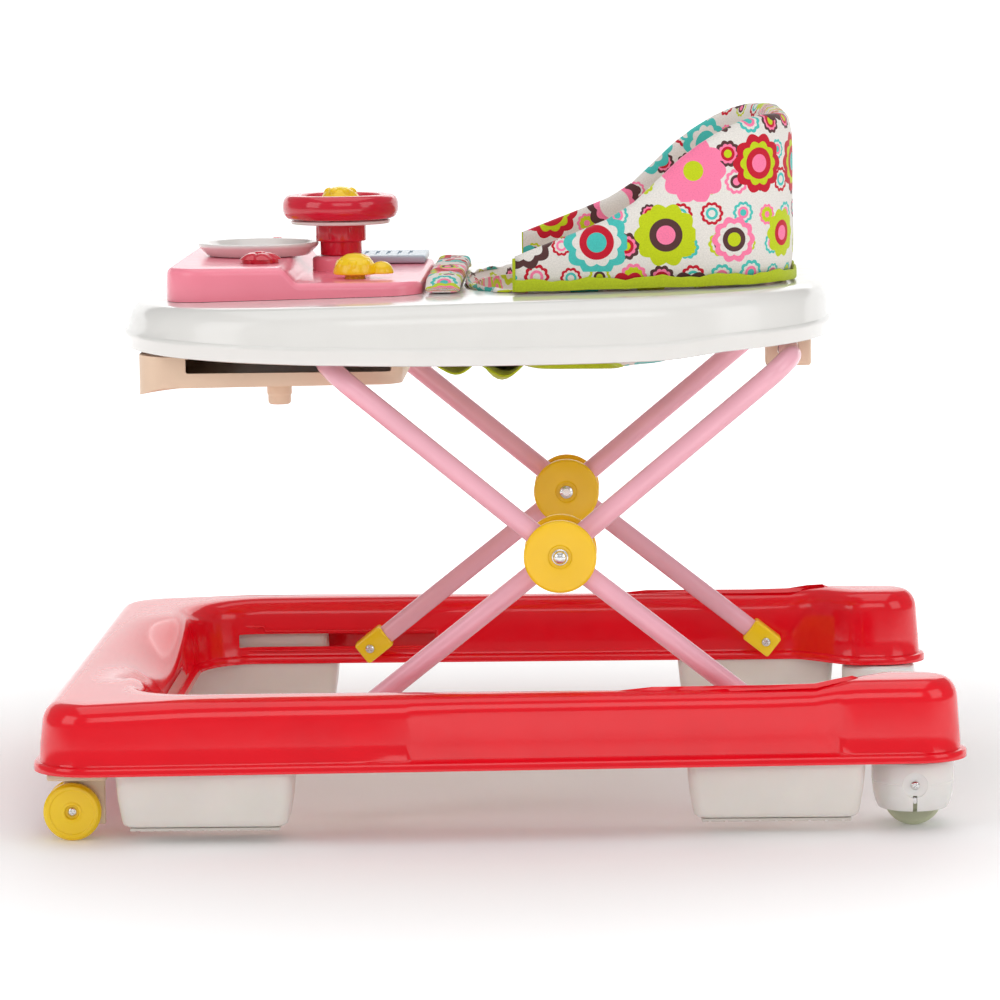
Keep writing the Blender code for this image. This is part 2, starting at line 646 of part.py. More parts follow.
def folding_frames():
    """Outer and inner U-frames, crossed and bolted at two hubs."""
    outer_axis = joint_empty("outer_frame_axis", (PIVOT_X, 0, PIVOT_Z))
    inner_axis = joint_empty("inner_frame_axis", (HUB_X, 0, HUB_Z))
    hub = (HUB_X, HUB_Z)
    hole_start = INNER_LEG_Y - 0.020
    outer = bent_frame("outer_frame_tube", OUTER_LEG_Y, (PIVOT_X, PIVOT_Z), hub, (OUTER_TOP_X, CROSS_Z),
                       hole_start, PINK_TUBE)
    inner = bent_frame("inner_frame_tube", INNER_LEG_Y, (SLIDER_X, PIVOT_Z), hub, (INNER_TOP_X, CROSS_Z),
                       hole_start, PINK_TUBE)
    carry(outer_axis, outer)
    carry(inner_axis, inner)
    slope = math.atan2(LOWER_RISE, LOWER_SPAN)
    disc_inner_y = INNER_LEG_Y - TUBE_RADIUS - 0.0005
    disc_outer_y = OUTER_LEG_Y + TUBE_RADIUS + 0.0005
    hole = BOLT_RADIUS + FIT
    for side, sign in SIDES:
        carry(outer_axis, *end_cap("outer_frame_cap", side, sign, OUTER_LEG_Y, (PIVOT_X, PIVOT_Z),
                                   math.pi - slope))
        carry(inner_axis, *end_cap("slider_cap", side, sign, INNER_LEG_Y, (SLIDER_X, PIVOT_Z), slope))
        facing = "Y" if sign > 0 else "-Y"
        far = disc_outer_y + HUB_THICKNESS
        outer_disc = turned(f"hub_disc_outer_{side}",
                            [(HUB_RADIUS - 0.002, far), (HUB_RADIUS, far - 0.002), (HUB_RADIUS, disc_outer_y),
                             (hole, disc_outer_y), (hole, far)], (HUB_X, 0, HUB_Z), YELLOW, facing, 20, ring=True)
        near = disc_inner_y - HUB_THICKNESS
        inner_disc = turned(f"hub_disc_inner_{side}",
                            [(HUB_RADIUS, disc_inner_y), (HUB_RADIUS, near + 0.002), (HUB_RADIUS - 0.002, near),
                             (hole, near), (hole, disc_inner_y)], (HUB_X, 0, HUB_Z), YELLOW, facing, 20, ring=True)
        bolt = turned(f"hub_bolt_{side}",
                      [(0, far + 0.0062), (0.003, far + 0.0055), (0.0052, far + 0.0035), (0.006, far + 0.0005),
                       (0.006, far + FIT), (BOLT_RADIUS, far + FIT), (BOLT_RADIUS, near - FIT),
                       (0.0055, near - FIT), (0.0055, near - 0.003), (0, near - 0.003)],
                      (HUB_X, 0, HUB_Z), STEEL, facing, 12)
        carry(outer_axis, outer_disc, bolt)
        carry(inner_axis, inner_disc)


# ---- tray ----
def tray_top(x):
    """Height of the tray's top at x."""
    share = (x - TRAY_FRONT_X) / TRAY_LENGTH
    return TRAY_TOP_FRONT + (TRAY_TOP_REAR - TRAY_TOP_FRONT) * share


def tray_shell():
    """The white tray: a thin moulding with a skirt all round and a seat opening."""
    half_x = TRAY_LENGTH / 2
    half_y = TRAY_WIDTH / 2
    opening_x = OPENING_FRONT_X + OPENING_LENGTH / 2
    count = 36
    loops = []
    for inset, lift in ((0.0, None), (-0.0012, None), (0.003, -0.010), (0.008, -0.0022), (0.016, 0.0)):
        outline = squarish(TRAY_MIDDLE_X, half_x - inset, half_y - inset, TRAY_SQUARENESS, count)
        points = []
        for x, y in outline:
            arch = 0.007 * ((x - TRAY_MIDDLE_X) / half_x) ** 2
            if lift is None:
                z = TRAY_EDGE_Z + arch + (0.011 if inset < 0 else 0.0)
            else:
                z = tray_top(x) + lift
            points.append((x, y, z))
        loops.append(points)
    for outset, lift in ((0.008, -0.0001), (0.002, -0.0022), (0.0, -0.026)):
        outline = squarish(opening_x, OPENING_LENGTH / 2 + outset, OPENING_WIDTH / 2 + outset, 3.0, count)
        loops.append([(x, y, tray_top(x) + lift) for x, y in outline])
    return thicken(loft("tray_shell", loops, WHITE), TRAY_WALL)


def track_pan():
    """Beige pan under the tray's front; the outer frame's crossbar slides in its two side slots."""
    front_upper = OUTER_TOP_X - 0.1155
    ledge = TRAY_EDGE_Z - 0.0015
    first = rounded_rectangle(PAN_FRONT_X, PAN_REAR_X, PAN_HALF, 0.02, 3)
    second = rounded_rectangle(front_upper, PAN_REAR_X - 0.001, PAN_HALF - 0.001, 0.02, 3)
    nose = PAN_FRONT_X + 0.037
    floor = rounded_rectangle(nose, PAN_REAR_X - 0.0015, PAN_HALF - 0.0015, 0.02, 3)
    loops = [[(x, y, PAN_BOTTOM_Z) for x, y in floor],
             [(x, y, PAN_BOTTOM_Z + 0.001 - 0.0085 * (max(0.0, nose - x) / 0.037) ** 2) for x, y in first],
             [(x, y, ledge) for x, y in first],
             [(x, y, ledge + 0.0005) for x, y in second],
             [(x, y, tray_top(x) - TRAY_WALL - 0.0015) for x, y in second]]
    pan = thicken(loft("track_pan", loops, BEIGE, cap_first=True), PAN_WALL)
    for side, sign in SIDES:
        low_y = min(sign * (PAN_HALF - 0.008), sign * (PAN_HALF + 0.006))
        slot = block(f"track_slot_cutter_{side}",
                     (OUTER_TOP_X - 0.107, low_y, CROSS_Z - TUBE_RADIUS - RUNNING_FIT),
                     (OUTER_TOP_X + 0.049, low_y + 0.014, CROSS_Z + TUBE_RADIUS + RUNNING_FIT), 0, None,
                     collection=CUTTERS)
        combine(pan, slot)
    return pan


def rear_clip(side, sign):
    """Beige bearing block under the tray, which holds the inner frame's crossbar."""
    middle_y = sign * 0.1125
    clip = block(f"rear_clip_{side}", (INNER_TOP_X - 0.0175, middle_y - 0.0125, CROSS_Z - 0.0125),
                 (INNER_TOP_X + 0.0175, middle_y + 0.0125, tray_top(INNER_TOP_X) - TRAY_WALL - 0.0015), 0.002, BEIGE)
    bore = rod(f"clip_bore_{side}", TUBE_RADIUS + RUNNING_FIT, (INNER_TOP_X, middle_y - 0.02, CROSS_Z), 0.04,
               None, "Y", 14, CUTTERS)
    combine(clip, bore)
    return clip


def height_latch(pan):
    """Pull peg through the pan's floor."""
    spot = (-0.1685, -0.150, 0.0)
    shank = 0.004
    hole = rod("latch_hole", shank + RUNNING_FIT, (spot[0], spot[1], PAN_BOTTOM_Z - 0.01), 0.02, None,
               collection=CUTTERS, steps=16)
    combine(pan, hole)
    top = CROSS_Z - TUBE_RADIUS - 0.0035
    low = PAN_BOTTOM_Z - 0.017
    return turned("height_latch_peg",
                  [(0, top), (shank, top), (shank, PAN_BOTTOM_Z - 0.001), (0.0095, PAN_BOTTOM_Z - 0.001),
                   (0.0095, low + 0.003), (0.0075, low), (0, low)], spot, BEIGE, steps=14)


# ---- toys ----
def panel_top(x):
    """Height of the toy panel's top at x: a raised front half and a lower rear half."""
    return PANEL_TOP_Z + PANEL_HUMP * (1 - ease((x + 0.168) / 0.015))


def toy_panel():
    """Pink panel: an open-bottomed moulding on the tray's front, with holes for its buttons."""
    length = PANEL_REAR_X - PANEL_FRONT_X
    stations = [(0.0, 0.020, 0.006), (0.006, 0.006, 0.002), (0.020, 0.0, 0.0), (0.085, 0.0, 0.0), (0.089, 0.0, 0.0),
                (0.0945, 0.0, 0.0), (0.100, 0.0, 0.0), (0.104, 0.0, 0.0), (length - 0.020, 0.0, 0.0),
                (length - 0.006, 0.006, 0.002), (length, 0.020, 0.005)]
    loops = []
    for distance, narrowing, drop in stations:
        x = PANEL_FRONT_X + distance
        half = PANEL_HALF - narrowing
        low = tray_top(x) + FIT
        top = panel_top(x) - drop
        edge = 0.005
        loops.append([(x, -half, low), (x, -half, top - edge), (x, -half + edge, top), (x, 0, top + 0.0005),
                      (x, half - edge, top), (x, half, top - edge), (x, half, low)])
    panel = loft("toy_panel", loops, PINK, cap_first=True, cap_last=True, closed=False)
    thicken(panel, PANEL_WALL)
    base_top_z = PANEL_TOP_Z + PANEL_HUMP
    boss = turned("steering_boss", [(0, base_top_z), (0.021, base_top_z), (0.023, base_top_z - 0.003),
                                    (0.023, PANEL_TOP_Z - 0.0015), (0, PANEL_TOP_Z - 0.0015)],
                  (WHEEL_X, 0, 0), None, steps=18, collection=CUTTERS)
    combine(panel, boss, "UNION")
    holes = [(FLOWER_X, -FLOWER_Y, BUTTON_RADIUS + RUNNING_FIT), (FLOWER_X, FLOWER_Y, BUTTON_RADIUS + RUNNING_FIT),
             (DOME_X, DOME_Y, DOME_STEM + RUNNING_FIT), (WHEEL_X, 0, 0.0080 + RUNNING_FIT)]
    for number, (x, y, radius) in enumerate(holes):
        cutter = rod(f"panel_hole_{number}", radius, (x, y, PANEL_TOP_Z - 0.006), 0.03, None, collection=CUTTERS,
                     steps=14)
        combine(panel, cutter)
    return panel


def toy_dish():
    """White bowl on the panel's raised half, with a turning knob in it."""
    x = -0.1945
    low = PANEL_TOP_Z + PANEL_HUMP + 0.0005 + FIT
    bowl = [(0, low + 0.003), (0.034, low + 0.004), (0.0445, low + 0.0105), (0.048, low + 0.0105),
            (0.048, low + 0.008), (0.040, low), (0, low)]
    turned("toy_dish", bowl, (x, 0, 0), WHITE, steps=20)
    knob = turned("dish_spinner", [(0, low + 0.0075), (0.007, low + 0.0072), (0.013, low + 0.0055),
                                   (0.0145, low + 0.0033 + 0.0011), (0, low + 0.0033 + 0.0011)],
                  (x, 0, 0), YELLOW, steps=14)
    carry(joint_empty("dish_spinner_axis", (x, 0, low + 0.0044)), knob)


def flower_button(side, sign):
    """Red push button with round petals on a plain stem."""
    base = PANEL_TOP_Z + PANEL_HUMP
    count = 20
    loops = []
    for height, radius, petal in ((-0.009, BUTTON_RADIUS, 0.0), (0.0032, BUTTON_RADIUS, 0.0),
                                  (0.0034, 0.0172, 0.16), (0.0060, 0.0175, 0.16), (0.0078, 0.0150, 0.16),
                                  (0.0085, 0.0080, 0.05), (0.0092, 0.0030, 0.0)):
        points = []
        for i in range(count):
            angle = 2 * math.pi * i / count
            reach = radius * (1 - petal * (1 - abs(math.cos(2.5 * angle))))
            points.append((FLOWER_X + reach * math.cos(angle), sign * FLOWER_Y + reach * math.sin(angle),
                           base + height))
        loops.append(points)
    flower = loft(f"flower_button_{side}", loops, CRIMSON, cap_first=True, cap_last=True)
    carry(joint_empty(f"flower_button_axis_{side}", (FLOWER_X, sign * FLOWER_Y, base)), flower)


def dome_toy():
    """Yellow push toy: a big dome with a smaller one beside it, on one stem."""
    low = PANEL_TOP_Z + 0.0035
    dome = turned("dome_toy", [(0, low + 0.0165), (0.006, low + 0.0155), (0.0115, low + 0.0125), (0.0155, low + 0.0075),
                               (0.017, low + 0.001), (0.0165, low), (DOME_STEM, low), (DOME_STEM, low - 0.010),
                               (0, low - 0.010)], (DOME_X, DOME_Y, 0), YELLOW, steps=18)
    small = turned("dome_toy_small", [(0, low + 0.0100), (0.005, low + 0.0088), (0.0085, low + 0.0055),
                                      (0.0095, low + 0.001), (0.0092, low + 0.0003), (0, low + 0.0003)],
                   (DOME_X + 0.0205, DOME_Y, 0), None, steps=12, collection=CUTTERS)
    combine(dome, small, "UNION")
    carry(joint_empty("dome_toy_axis", (DOME_X, DOME_Y, low)), dome)


def steering():
    """Steering wheel on a stepped column, with a horn button in its middle."""
    base_top_z = PANEL_TOP_Z + PANEL_HUMP
    base_low = PANEL_TOP_Z + 0.0005 + FIT
    step_z = 0.4315
    column_top = 0.4450
    column = turned("steering_column",
                    [(0, column_top + 0.006), (0.011, column_top + 0.006), (0.011, column_top), (0.020, column_top),
                     (0.020, step_z), (0.0165, step_z), (0.0165, base_top_z + FIT), (0.0075, base_top_z + FIT),
                     (0.0075, base_low - 0.005), (0, base_low - 0.005)], (WHEEL_X, 0, 0), CRIMSON, steps=18)
    plate = turned("steering_under_plate",
                   [(0.037, column_top + 0.0036), (0.040, column_top + 0.0026), (0.039, column_top + FIT),
                    (0.011 + FIT, column_top + FIT), (0.011 + FIT, column_top + 0.0036)],
                   (WHEEL_X, 0, 0), WHITE, ring=True, steps=20)
    rim_middle = RIM_BOTTOM_Z + RIM_HEIGHT / 2
    half_width = 0.0080
    profile = []
    for i in range(8):
        angle = -2 * math.pi * i / 8 + math.pi / 2
        profile.append((RIM_RADIUS - half_width + half_width * math.cos(angle),
                        rim_middle + RIM_HEIGHT / 2 * math.sin(angle)))
    rim = turned("steering_rim", profile, (WHEEL_X, 0, 0), CRIMSON, steps=22, ring=True)
    hub_low = column_top + 0.0065
    hub_top = RIM_BOTTOM_Z + 0.0115
    hub = turned("steering_hub", [(0.019, hub_top), (0.019, hub_low), (0.0045, hub_low), (0.0045, hub_top)],
                 (WHEEL_X, 0, 0), None, ring=True, steps=16, collection=CUTTERS)
    spokes = []
    for number in range(3):
        spoke = block(f"steering_spoke_{number}", (0.012, -0.006, hub_low + 0.0012), (0.036, 0.006, hub_low + 0.006),
                      0, None, collection=CUTTERS)
        angle = math.pi + 2 * math.pi * number / 3
        reach = spoke.location.x
        spoke.location = (WHEEL_X + reach * math.cos(angle), reach * math.sin(angle), spoke.location.z)
        spoke.rotation_euler = (0, 0, angle)
        spokes.append(spoke)
    combine(rim, hub, "UNION")
    for spoke in spokes:
        combine(rim, spoke, "UNION")
    horn_low = hub_top + 0.0032
    horn = turned("horn_button", [(0, horn_low + 0.0113), (0.006, horn_low + 0.0103), (0.0115, horn_low + 0.0073),
                                  (0.0155, horn_low + 0.002), (0.0155, horn_low), (0.0038, horn_low),
                                  (0.0038, horn_low - 0.0060), (0, horn_low - 0.0060)],
                  (WHEEL_X, 0, 0), YELLOW, steps=16)
    carry(joint_empty("steering_axis", (WHEEL_X, 0, RIM_BOTTOM_Z)), column, plate, rim)
    carry(joint_empty("horn_axis", (WHEEL_X, 0, horn_low)), horn)


def music_box():
    """Low box with the sound unit, beside the steering wheel."""
    low = PANEL_TOP_Z + 0.0005 + FIT
    return block("music_box", (-0.137, 0.058, low), (-0.064, 0.134, low + 0.0065), 0.0025, PALE_BLUE)


# ---- seat ----
def seat_top(x):
    """Height of the padded back's upper edge at x: low wings that rise to the backrest."""
    outline = ((SEAT_FRONT_X, 0.430), (0.100, 0.461), (0.132, 0.503), (0.167, 0.530), (0.200, SEAT_TOP_Z - 0.001),
               (SEAT_REAR_X, SEAT_TOP_Z))
    if x <= outline[0][0]:
        return outline[0][1]
    for (x0, z0), (x1, z1) in zip(outline, outline[1:]):
        if x <= x1:
            return z0 + (z1 - z0) * (x - x0) / (x1 - x0)
    return outline[-1][1]


def seat_back():
    """Padded wall round the sides and rear of the opening."""
    corner = 0.070
    half = line((SEAT_FRONT_X, SEAT_HALF), (SEAT_REAR_X - corner, SEAT_HALF), 7)
    half += arc(SEAT_REAR_X - corner, SEAT_HALF - corner, corner, corner, 90, 0, 6)
    half += line((SEAT_REAR_X, SEAT_HALF - corner), (SEAT_REAR_X, 0), 3)
    path = half + [(SEAT_REAR_X, 0)] + [(x, -y) for x, y in reversed(half)]
    loops = []
    for i, (x, y) in enumerate(path):
        before = Vector(path[max(i - 1, 0)])
        after = Vector(path[min(i + 1, len(path) - 1)])
        along = (after - before).normalized()
        inward = Vector((along.y, -along.x))
        loop = []
        low = tray_top(x) + 0.0012
        top = seat_top(x)
        for depth, z in ((0, low), (0, top - 0.009), (0.003, top - 0.003), (0.011, top), (0.019, top - 0.003),
                         (SEAT_THICKNESS, top - 0.009), (SEAT_THICKNESS, low)):
            loop.append((x + inward.x * depth, y + inward.y * depth, z))
        loops.append(loop)
    return loft("seat_back", loops, FABRIC, cap_first=True, cap_last=True)


def seat_sling():
    """Fabric seat that hangs in the opening, with two leg holes."""
    middle = OPENING_FRONT_X + OPENING_LENGTH / 2
    count = 20
    loops = []
    for inset, z, forward in ((0.170, SLING_BOTTOM_Z, 0.030), (0.090, SLING_BOTTOM_Z + 0.003, 0.024),
                              (0.045, SLING_BOTTOM_Z + 0.014, 0.012), (0.016, SLING_BOTTOM_Z + 0.034, 0.003),
                              (0.0045, 0.385, 0.0), (0.0035, 0.3955, 0.0)):
        half_x = max(0.012, OPENING_LENGTH / 2 - inset * 0.75)
        half_y = max(0.012, OPENING_WIDTH / 2 - inset)
        if inset < 0.01:
            half_x = OPENING_LENGTH / 2 - inset
        loops.append([(x, y, z) for x, y in squarish(middle - forward, half_x, half_y, 2.6, count)])
    sling = thicken(loft("seat_sling", loops, FABRIC, cap_first=True), SLING_WALL)
    for side, sign in SIDES:
        hole = rod(f"leg_hole_{side}", 0.036, (middle - 0.030, sign * 0.068, SLING_BOTTOM_Z - 0.02), 0.045, None,
                   collection=CUTTERS, steps=14)
        combine(sling, hole)
    return sling


def seat_front_pad():
    """Low padded edge between the toy panel and the opening."""
    return block("seat_front_pad", (PANEL_REAR_X + 0.002, -0.140, tray_top(PANEL_REAR_X) + 0.0012),
                 (OPENING_FRONT_X - 0.001, 0.140, 0.4120), 0.004, FABRIC)


base_shell()
blocks_and_pads()
for side_name, side_sign in SIDES:
    front_caster(side_name, side_sign)
    rear_caster(side_name, side_sign)
folding_frames()
tray_axis = joint_empty("tray_axis", (INNER_TOP_X, 0, CROSS_Z))
tray_pan = track_pan()
latch_peg = height_latch(tray_pan)
carry(joint_empty("height_latch_axis", (-0.1685, -0.150, PAN_BOTTOM_Z)), latch_peg)
carry(tray_axis, tray_shell(), tray_pan, toy_panel(), music_box(), seat_back(), seat_sling(), seat_front_pad())
for side_name, side_sign in SIDES:
    carry(tray_axis, rear_clip(side_name, side_sign))
    flower_button(side_name, side_sign)
toy_dish()
dome_toy()
steering()
for part in PARTS.objects:
    if part.type == "MESH":
        smooth(part)
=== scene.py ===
"""Baby walker: the finished surfaces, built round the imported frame."""
import math

import bmesh
import bpy
from mathutils import Matrix, Vector
from mathutils.bvhtree import BVHTree
from mathutils.geometry import intersect_point_line


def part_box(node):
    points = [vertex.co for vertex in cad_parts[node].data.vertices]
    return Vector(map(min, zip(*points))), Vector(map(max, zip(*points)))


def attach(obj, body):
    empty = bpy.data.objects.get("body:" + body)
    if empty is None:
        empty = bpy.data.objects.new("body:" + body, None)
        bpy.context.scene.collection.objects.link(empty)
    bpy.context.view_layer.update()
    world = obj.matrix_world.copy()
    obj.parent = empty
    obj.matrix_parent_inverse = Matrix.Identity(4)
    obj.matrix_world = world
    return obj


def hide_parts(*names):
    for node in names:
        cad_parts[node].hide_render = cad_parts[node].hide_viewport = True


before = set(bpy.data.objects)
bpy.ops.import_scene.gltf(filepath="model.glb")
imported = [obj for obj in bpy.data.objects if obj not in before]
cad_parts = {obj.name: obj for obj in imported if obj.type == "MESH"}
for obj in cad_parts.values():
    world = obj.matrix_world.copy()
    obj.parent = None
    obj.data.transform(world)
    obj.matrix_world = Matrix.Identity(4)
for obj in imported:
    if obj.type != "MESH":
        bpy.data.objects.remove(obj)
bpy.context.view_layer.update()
SIDES = (("left", -1), ("right", 1))


# ---- camera ----
# A long lens a little above the tray's height, square on to the walker's left side and tipped slightly
# down on it.
lens_data = bpy.data.cameras.new("studio_camera")
lens_data.lens = 161.4
lens_data.shift_x = -0.037
lens_data.shift_y = -0.0219
lens_data.sensor_width = 36.0
camera = bpy.data.objects.new("studio_camera", lens_data)
bpy.context.scene.collection.objects.link(camera)
bpy.context.scene.camera = camera
camera.location = (0.0939, -3.565, 0.649)
camera.rotation_euler = (math.radians(83.447), math.radians(0.7), math.radians(1.027))


# ---- floor and lights ----
# A pale seamless sweep and five soft boxes, as for a catalogue picture: one overhead, one on each side,
# one in front that lifts the shadows under the tray, and one behind.
class Graph:
    """A short way to wire shader nodes together."""

    def __init__(self, name):
        self.material = bpy.data.materials.new(name)
        self.material.use_nodes = True
        self.tree = self.material.node_tree
        self.shader = self.tree.nodes["Principled BSDF"].inputs

    def surface(self, **values):
        """Set inputs of the shader; an underscore stands for the space in an input's name."""
        for key, value in values.items():
            self.feed(self.shader[key.replace("_", " ")], value)

    def node(self, kind, inputs=None, **settings):
        made = self.tree.nodes.new(kind)
        for key, value in settings.items():
            setattr(made, key, value)
        for key, value in (inputs or {}).items():
            self.feed(made.inputs[key], value)
        return made

    def feed(self, socket, value):
        if isinstance(value, bpy.types.NodeSocket):
            self.tree.links.new(value, socket)
        else:
            socket.default_value = value

    def noise(self, place, scale, detail):
        made = self.node("ShaderNodeTexNoise", {"Vector": place, "Scale": scale, "Detail": detail})
        return made.outputs["Fac"]

    def mapped(self, value, **ends):
        inputs = {key.replace("_", " "): end for key, end in ends.items()}
        return self.node("ShaderNodeMapRange", {"Value": value, **inputs}).outputs["Result"]

    def bump(self, height, strength, distance):
        inputs = {"Strength": strength, "Distance": distance, "Height": height}
        return self.node("ShaderNodeBump", inputs).outputs["Normal"]

    def maths(self, operation, *values):
        made = self.node("ShaderNodeMath", operation=operation)
        for socket, value in zip(made.inputs, values):
            self.feed(socket, value)
        return made.outputs[0]

    def mixed(self, share, first, second):
        made = self.node("ShaderNodeMix", data_type="RGBA")
        self.feed(made.inputs[0], share)
        self.feed(made.inputs[6], first)
        self.feed(made.inputs[7], second)
        return made.outputs[2]

    def picked(self, value, colours):
        ramp = self.node("ShaderNodeValToRGB", {"Fac": value})
        ramp.color_ramp.interpolation = "CONSTANT"
        elements = ramp.color_ramp.elements
        while len(elements) < len(colours):
            elements.new(0.5)
        for number, colour in enumerate(colours):
            elements[number].position = number / len(colours)
            elements[number].color = (*colour, 1.0)
        return ramp.outputs["Color"]


def studio_floor():
    """A wide floor that curves up into a wall far behind."""
    bm = bmesh.new()
    rows = []
    for step in range(25):
        if step < 8:
            y = -6.0 + 10.0 * step / 7
            z = 0.0
        else:
            angle = math.pi / 2 * (step - 8) / 16
            y = 4.0 + 3.0 * math.sin(angle)
            z = 3.0 * (1 - math.cos(angle))
        rows.append([bm.verts.new((x, y, z - 0.0002)) for x in (-9.0, -3.0, 3.0, 9.0)])
    for near, far in zip(rows, rows[1:]):
        for i in range(3):
            bm.faces.new((near[i], near[i + 1], far[i + 1], far[i]))
    mesh = bpy.data.meshes.new("studio_floor")
    bm.to_mesh(mesh)
    bm.free()
    mesh.shade_smooth()
    floor = bpy.data.objects.new("studio_floor", mesh)
    bpy.context.scene.collection.objects.link(floor)
    g = Graph("studio_paper")
    # Painted light: the paper glows more the farther it lies from the walker, which turns the far floor and
    # wall white while the shadows near the walker stay.
    place = g.node("ShaderNodeTexCoord").outputs["Object"]
    reach = g.node("ShaderNodeVectorMath", {0: place}, operation="LENGTH").outputs["Value"]
    glow = g.mapped(reach, From_Min=0.30, From_Max=1.2, To_Max=0.75)
    g.surface(Base_Color=(0.93, 0.93, 0.93, 1.0), Roughness=0.75, Emission_Color=(1.0, 1.0, 1.0, 1.0),
              Emission_Strength=glow)
    mesh.materials.append(g.material)


def soft_box(name, location, aim, width, height, power):
    """An area light that faces a point."""
    light = bpy.data.lights.new(name, "AREA")
    light.shape = "RECTANGLE"
    light.size = width
    light.size_y = height
    light.energy = power
    lamp = bpy.data.objects.new(name, light)
    lamp.location = location
    lamp.rotation_euler = (Vector(aim) - Vector(location)).to_track_quat("-Z", "Y").to_euler()
    bpy.context.scene.collection.objects.link(lamp)


studio_floor()
soft_box("top_box", (0.0, -0.2, 2.6), (0.0, 0.0, 0.2), 2.6, 2.6, 24)
soft_box("left_box", (-2.6, -1.8, 1.5), (0.0, 0.0, 0.25), 1.6, 1.8, 15)
soft_box("right_box", (2.6, -1.6, 1.4), (0.0, 0.0, 0.25), 1.6, 1.8, 14)
soft_box("front_box", (0.3, -3.4, 1.9), (0.0, 0.0, 0.2), 2.4, 1.4, 17)
soft_box("rear_box", (0.2, 3.0, 2.0), (0.0, 0.0, 0.25), 2.4, 1.4, 16)
world = bpy.data.worlds.new("studio_air")
world.use_nodes = True
world.node_tree.nodes["Background"].inputs["Color"].default_value = (1.0, 1.0, 1.0, 1.0)
world.node_tree.nodes["Background"].inputs["Strength"].default_value = 0.33
bpy.context.scene.world = world
bpy.context.scene.view_settings.view_transform = "Standard"


# ---- red base shell ----
# The floor frame is one deep injection moulding in glossy red polypropylene: an open-bottomed U channel
# with a rolled lip, a hollow in the crossbar for the child's feet, and humps over the rear casters.
def plastic(name, colour, roughness=0.2, grain=0.25, coat=0.0, subsurface=0.0, mottling=0.035, peel=None):
    """Moulded plastic: faint flow mottling, fine handling marks in the gloss and a soft mould texture."""
    g = Graph(name)
    place = g.node("ShaderNodeTexCoord").outputs["Object"]
    shade = g.node("ShaderNodeValToRGB", {"Fac": g.noise(place, 22.0, 3.0)})
    dark, light = shade.color_ramp.elements
    dark.position = 0.3
    light.position = 0.7
    dark.color = (*[c * (1 - mottling) for c in colour], 1.0)
    light.color = (*[min(1.0, c * (1 + mottling)) for c in colour], 1.0)
    marks = g.noise(place, 90.0, 6.0)
    gloss = g.mapped(marks, To_Min=max(0.03, roughness - 0.05), To_Max=roughness + 0.07)
    scale, detail, strength, distance = peel or (900.0, 2.0, grain, 0.00012)
    texture = g.bump(g.noise(place, scale, detail), strength, distance)
    g.surface(Base_Color=shade.outputs["Color"], Roughness=gloss, Normal=texture, Coat_Weight=coat,
              Coat_Roughness=0.06, Subsurface_Weight=subsurface, Subsurface_Scale=0.004)
    return g.material


def shown(obj, name, material, body, replaced=(), crease=40.0):
    """Name a piece, finish it, and make it ride on its body in place of the plain solids it stands for."""
    obj.name = name
    obj.data.name = name
    if name not in bpy.context.scene.collection.objects:
        bpy.context.scene.collection.objects.link(obj)
    obj.data.materials.clear()
    obj.data.materials.append(material)
    if obj.type == "MESH":
        obj.data.shade_smooth()
        obj.data.set_sharp_from_angle(angle=math.radians(crease))
    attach(obj, body)
    if replaced:
        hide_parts(*replaced)
    return obj


def from_bmesh(bm, name):
    """A new object made from a bmesh."""
    mesh = bpy.data.meshes.new(name)
    bm.normal_update()
    bm.to_mesh(mesh)
    bm.free()
    return bpy.data.objects.new(name, mesh)


def skin(name, loops, cap_first=False, cap_last=False, closed=True):
    """A surface over a list of loops with equal point counts."""
    bm = bmesh.new()
    rows = [[bm.verts.new(point) for point in loop] for loop in loops]
    count = len(rows[0])
    for lower, upper in zip(rows, rows[1:]):
        for i in range(count if closed else count - 1):
            j = (i + 1) % count
            bm.faces.new((lower[i], lower[j], upper[j], upper[i]))
    if cap_first:
        bm.faces.new(list(reversed(rows[0])))
    if cap_last:
        bm.faces.new(rows[-1])
    bmesh.ops.recalc_face_normals(bm, faces=bm.faces)
    return from_bmesh(bm, name)


def walled(obj, wall, even=True):
    """Give an open surface its wall on the inner side."""
    solidify = obj.modifiers.new("wall", "SOLIDIFY")
    solidify.thickness = wall
    solidify.offset = -1.0
    solidify.use_even_offset = even
    return obj


def ease(value):
    """Smooth step from 0 to 1."""
    value = min(1.0, max(0.0, value))
    return value * value * (3 - 2 * value)


def arc(centre, radii, start, end, steps):
    """Points on an elliptic arc between two angles in degrees, without the last one."""
    points = []
    for i in range(steps):
        angle = math.radians(start + (end - start) * i / steps)
        points.append((centre[0] + radii[0] * math.cos(angle), centre[1] + radii[1] * math.sin(angle)))
    return points


def run(start, end, steps):
    """Points along a straight run, without the last one."""
    return [(start[0] + (end[0] - start[0]) * i / steps, start[1] + (end[1] - start[1]) * i / steps)
            for i in range(steps)]


BASE_FRONT = -0.350
BASE_EDGE = 0.054
BASE_HALF = 0.300        # half the width at the front
RAIL_INNER = 0.237
CORNER = 0.045
END = 0.040              # radius along X of the rail's round rear end
END_MIDDLE = (0.310, 0.2355)
HOLLOW_HALF = 0.165      # half the foot hollow's width
HOLLOW_REAR = -0.24      # the hollow lies forward of this X


def base_top(x):
    """Height of the shell's top at x: a gentle rise, then the hump over the rear caster."""
    return 0.105 + 0.004 * ease((x - BASE_FRONT) / 0.15) + 0.006 * ease((x - 0.225) / 0.045)


